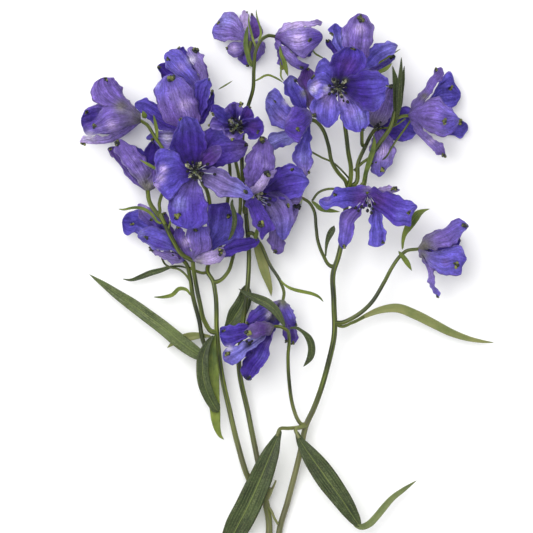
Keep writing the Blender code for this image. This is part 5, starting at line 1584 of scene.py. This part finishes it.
# Carpel skin: a young green pod under a pale down, so it is yellow-green with whitish patches.
carpel_skin, tree, carpel_shader, place = new_material("young_carpel_skin")
mottle = add_node(tree, "ShaderNodeTexNoise", {
    "Vector": place, "Scale": 1 / CARPEL_PATCH, "Detail": 3.0})
carpel_colour = add_node(tree, "ShaderNodeMix", {
    0: mottle, 6: colour(CARPEL_GREEN), 7: colour(CARPEL_DOWN)}, data_type="RGBA").outputs[2]
set_inputs(tree, carpel_shader, {"Base Color": carpel_colour, "Roughness": 0.45})

anther_tree, given = open_tree("anther_ends", {
    "Length": "NodeSocketFloat",
    "Seed": "NodeSocketInt",
    "Skin": "NodeSocketMaterial",
})
routes = add_node(anther_tree, "GeometryNodeMeshToCurve", {"Mesh": given["Geometry"]})
ends = add_node(anther_tree, "GeometryNodeCurveEndpointSelection", {"Start Size": 0, "End Size": 1})
direction = add_node(anther_tree, "GeometryNodeInputTangent")
turn = add_node(anther_tree, "FunctionNodeAlignRotationToVector", {"Vector": direction}, axis="Z")
bead = add_node(anther_tree, "GeometryNodeMeshUVSphere", {"Segments": 8, "Rings": 5, "Radius": 0.5})
size = add_node(anther_tree, "FunctionNodeRandomValue", {
    2: 0.75, 3: 1.2, "Seed": given["Seed"]}, data_type="FLOAT")
anther_length = add_node(anther_tree, "ShaderNodeMath", {
    0: size.outputs[1], 1: given["Length"]}, operation="MULTIPLY")
anther_width = add_node(anther_tree, "ShaderNodeMath", {
    0: anther_length, 1: ANTHER_WIDTH_SHARE}, operation="MULTIPLY")
anther_scale = add_node(anther_tree, "ShaderNodeCombineXYZ", {
    "X": anther_width, "Y": anther_width, "Z": anther_length})
anthers = add_node(anther_tree, "GeometryNodeInstanceOnPoints", {
    "Points": routes, "Selection": ends, "Instance": bead, "Rotation": turn, "Scale": anther_scale})
close_tree(anther_tree, anthers, given["Skin"])


def filament_rows(base, end, bend):
    """A filament's route from the floret's base to its anther, bent outwards on the way."""
    middle = base * 0.45 + end * 0.55 + bend
    rows = smooth_rows([base, middle, end], 0.9 * MM)
    half = np.linspace(FILAMENT_DIAMETER / 2, FILAMENT_DIAMETER / 3, len(rows))
    return np.column_stack((rows, half, np.zeros(len(rows))))


filament_paths = []
carpel_paths = []
chance = np.random.default_rng(77)
for floret in FLORETS.values():
    facing = np.array(floret.facing) / np.linalg.norm(floret.facing)
    base = spot(*floret.base) - (0, 0, TUFT_SINK * (1 - abs(facing[2])))
    if floret.anthers:
        for column, row in places_of(floret.anthers):
            above = chance.uniform(*FILAMENT_REACH) * max(facing[2], ANTHER_LEAST_RISE)
            end = spot(column, row, floret.base[2] + above)
            bend = np.array((0, 0, chance.uniform(*FILAMENT_BEND) * MM))
            filament_paths.append(filament_rows(base, end, bend))
        for _ in range(TUFT_FILAMENTS):
            aside = np.cross(facing, chance.normal(size=3))
            aside /= np.linalg.norm(aside)
            aside[2] = min(aside[2], TUFT_LEAN_UP)
            out = facing * chance.uniform(*TUFT_REACH) + aside * chance.uniform(*TUFT_SPREAD)
            bend = facing * chance.uniform(*FILAMENT_BEND) * MM
            filament_paths.append(filament_rows(base, base + out * MM, bend))
    else:
        for _ in range(HIDDEN_TUFT_FILAMENTS):
            aside = np.cross(facing, chance.normal(size=3))
            aside /= np.linalg.norm(aside)
            out = facing * chance.uniform(*FILAMENT_REACH) + aside * chance.uniform(*HIDDEN_TUFT_SPREAD)
            filament_paths.append(filament_rows(base, base + out * MM, aside * 0.4 * MM))
    for turn_share in CARPEL_TURNS:
        angle = 2 * math.pi * turn_share + chance.uniform(0, 1)
        sideways = np.cross(facing, (0.3, 0.2, 0.9))
        sideways /= np.linalg.norm(sideways)
        upright = np.cross(facing, sideways)
        lean = (sideways * math.cos(angle) + upright * math.sin(angle)) * CARPEL_LEAN_MM * MM
        middle = base + facing * CARPEL_MIDDLE_MM * MM + lean
        top = base + facing * CARPEL_LENGTH_MM * MM + lean * CARPEL_TOP_LEAN
        rows = smooth_rows([base, middle, top], 0.6 * MM)
        run = np.linspace(0, 1, len(rows))
        half = CARPEL_DIAMETER / 2 * (0.25 + 0.75 * np.sin(math.pi * np.clip(run * 1.1, 0, 1)) ** 0.6)
        carpel_paths.append(np.column_stack((rows, half, np.zeros(len(rows)))))

for piece_name, paths, flesh in (
        ("filaments", filament_paths, filament_tissue), ("carpels", carpel_paths, carpel_skin)):
    piece = grow(piece_name, route_mesh(piece_name, paths), tube_tree, {
        "Sides": FILAMENT_SIDES, "Ribs": 0.0, "Rib Depth": 0.0, "Skin": flesh})
    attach(piece, "root")
anther_tips = grow("anthers", route_mesh("anthers", filament_paths), anther_tree, {
    "Length": ANTHER_LENGTH, "Seed": 5, "Skin": anther_skin})
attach(anther_tips, "root")


# The table: a plain pale painted board under the spray, matt and very slightly uneven, so that
# it keeps a soft shadow where the sepals and stems come near it.

TABLE_HALF_SIZE = 2.0
PAINT_PATCHES_PER_METRE = 9.0
PAINT_DULL = "#fbfbfc"
PAINT_WHITE = "#ffffff"

# Matt white paint: chalky and without gloss, so it shows soft shadows and no reflections.
table_paint, tree, paint_shader, place = new_material("matt_white_paint")
unevenness = add_node(tree, "ShaderNodeTexNoise", {
    "Vector": place, "Scale": PAINT_PATCHES_PER_METRE, "Detail": 2.0})
paint_colour = add_node(tree, "ShaderNodeMix", {
    0: unevenness, 6: colour(PAINT_DULL), 7: colour(PAINT_WHITE)}, data_type="RGBA").outputs[2]
set_inputs(tree, paint_shader, {
    "Base Color": paint_colour, "Roughness": 0.9, "Specular IOR Level": 0.1})

corners = [
    (x * TABLE_HALF_SIZE, y * TABLE_HALF_SIZE, 0.0) for x, y in ((-1, -1), (1, -1), (1, 1), (-1, 1))]
table_mesh = bpy.data.meshes.new("table")
table_mesh.from_pydata(corners, [], [(0, 1, 2, 3)])
table_mesh.materials.append(table_paint)
table = add_object("table", table_mesh)


# The light and the camera: a big soft lamp from the upper left over an even white surround, and
# a long lens that looks straight down, so that the spray shows as it does on the drawing.

SURROUND_STRENGTH = 0.84
LAMP_PLACE = (-0.5, 0.6, 1.5)
LAMP_AIM = (-0.02, 0.03, 0.0)
LAMP_SIZE = 1.5
LAMP_WATTS = 20.0
CAMERA_HEIGHT = 6.0
VIEW_STEPS = 533
VIEW_WIDTH = VIEW_STEPS * DRAWING_STEP
SENSOR_MM = 36.0

world = bpy.data.worlds.new("surround")
world.use_nodes = True
surround = world.node_tree.nodes["Background"]
surround.inputs["Color"].default_value = (1.0, 1.0, 1.0, 1.0)
surround.inputs["Strength"].default_value = SURROUND_STRENGTH
bpy.context.scene.world = world
bpy.context.scene.view_settings.view_transform = "Standard"

lamp_light = bpy.data.lights.new("lamp", "AREA")
lamp_light.shape = "DISK"
lamp_light.size = LAMP_SIZE
lamp_light.energy = LAMP_WATTS
lamp = add_object("lamp", lamp_light)
lamp.location = LAMP_PLACE
lamp.rotation_euler = (Vector(LAMP_AIM) - Vector(LAMP_PLACE)).to_track_quat("-Z", "Y").to_euler()

camera_lens = bpy.data.cameras.new("camera")
camera_lens.sensor_width = SENSOR_MM
camera_lens.lens = SENSOR_MM * CAMERA_HEIGHT / VIEW_WIDTH
camera = add_object("camera", camera_lens)
camera.location = (*spot(VIEW_STEPS / 2, VIEW_STEPS / 2, 0)[:2], CAMERA_HEIGHT)
bpy.context.scene.camera = camera
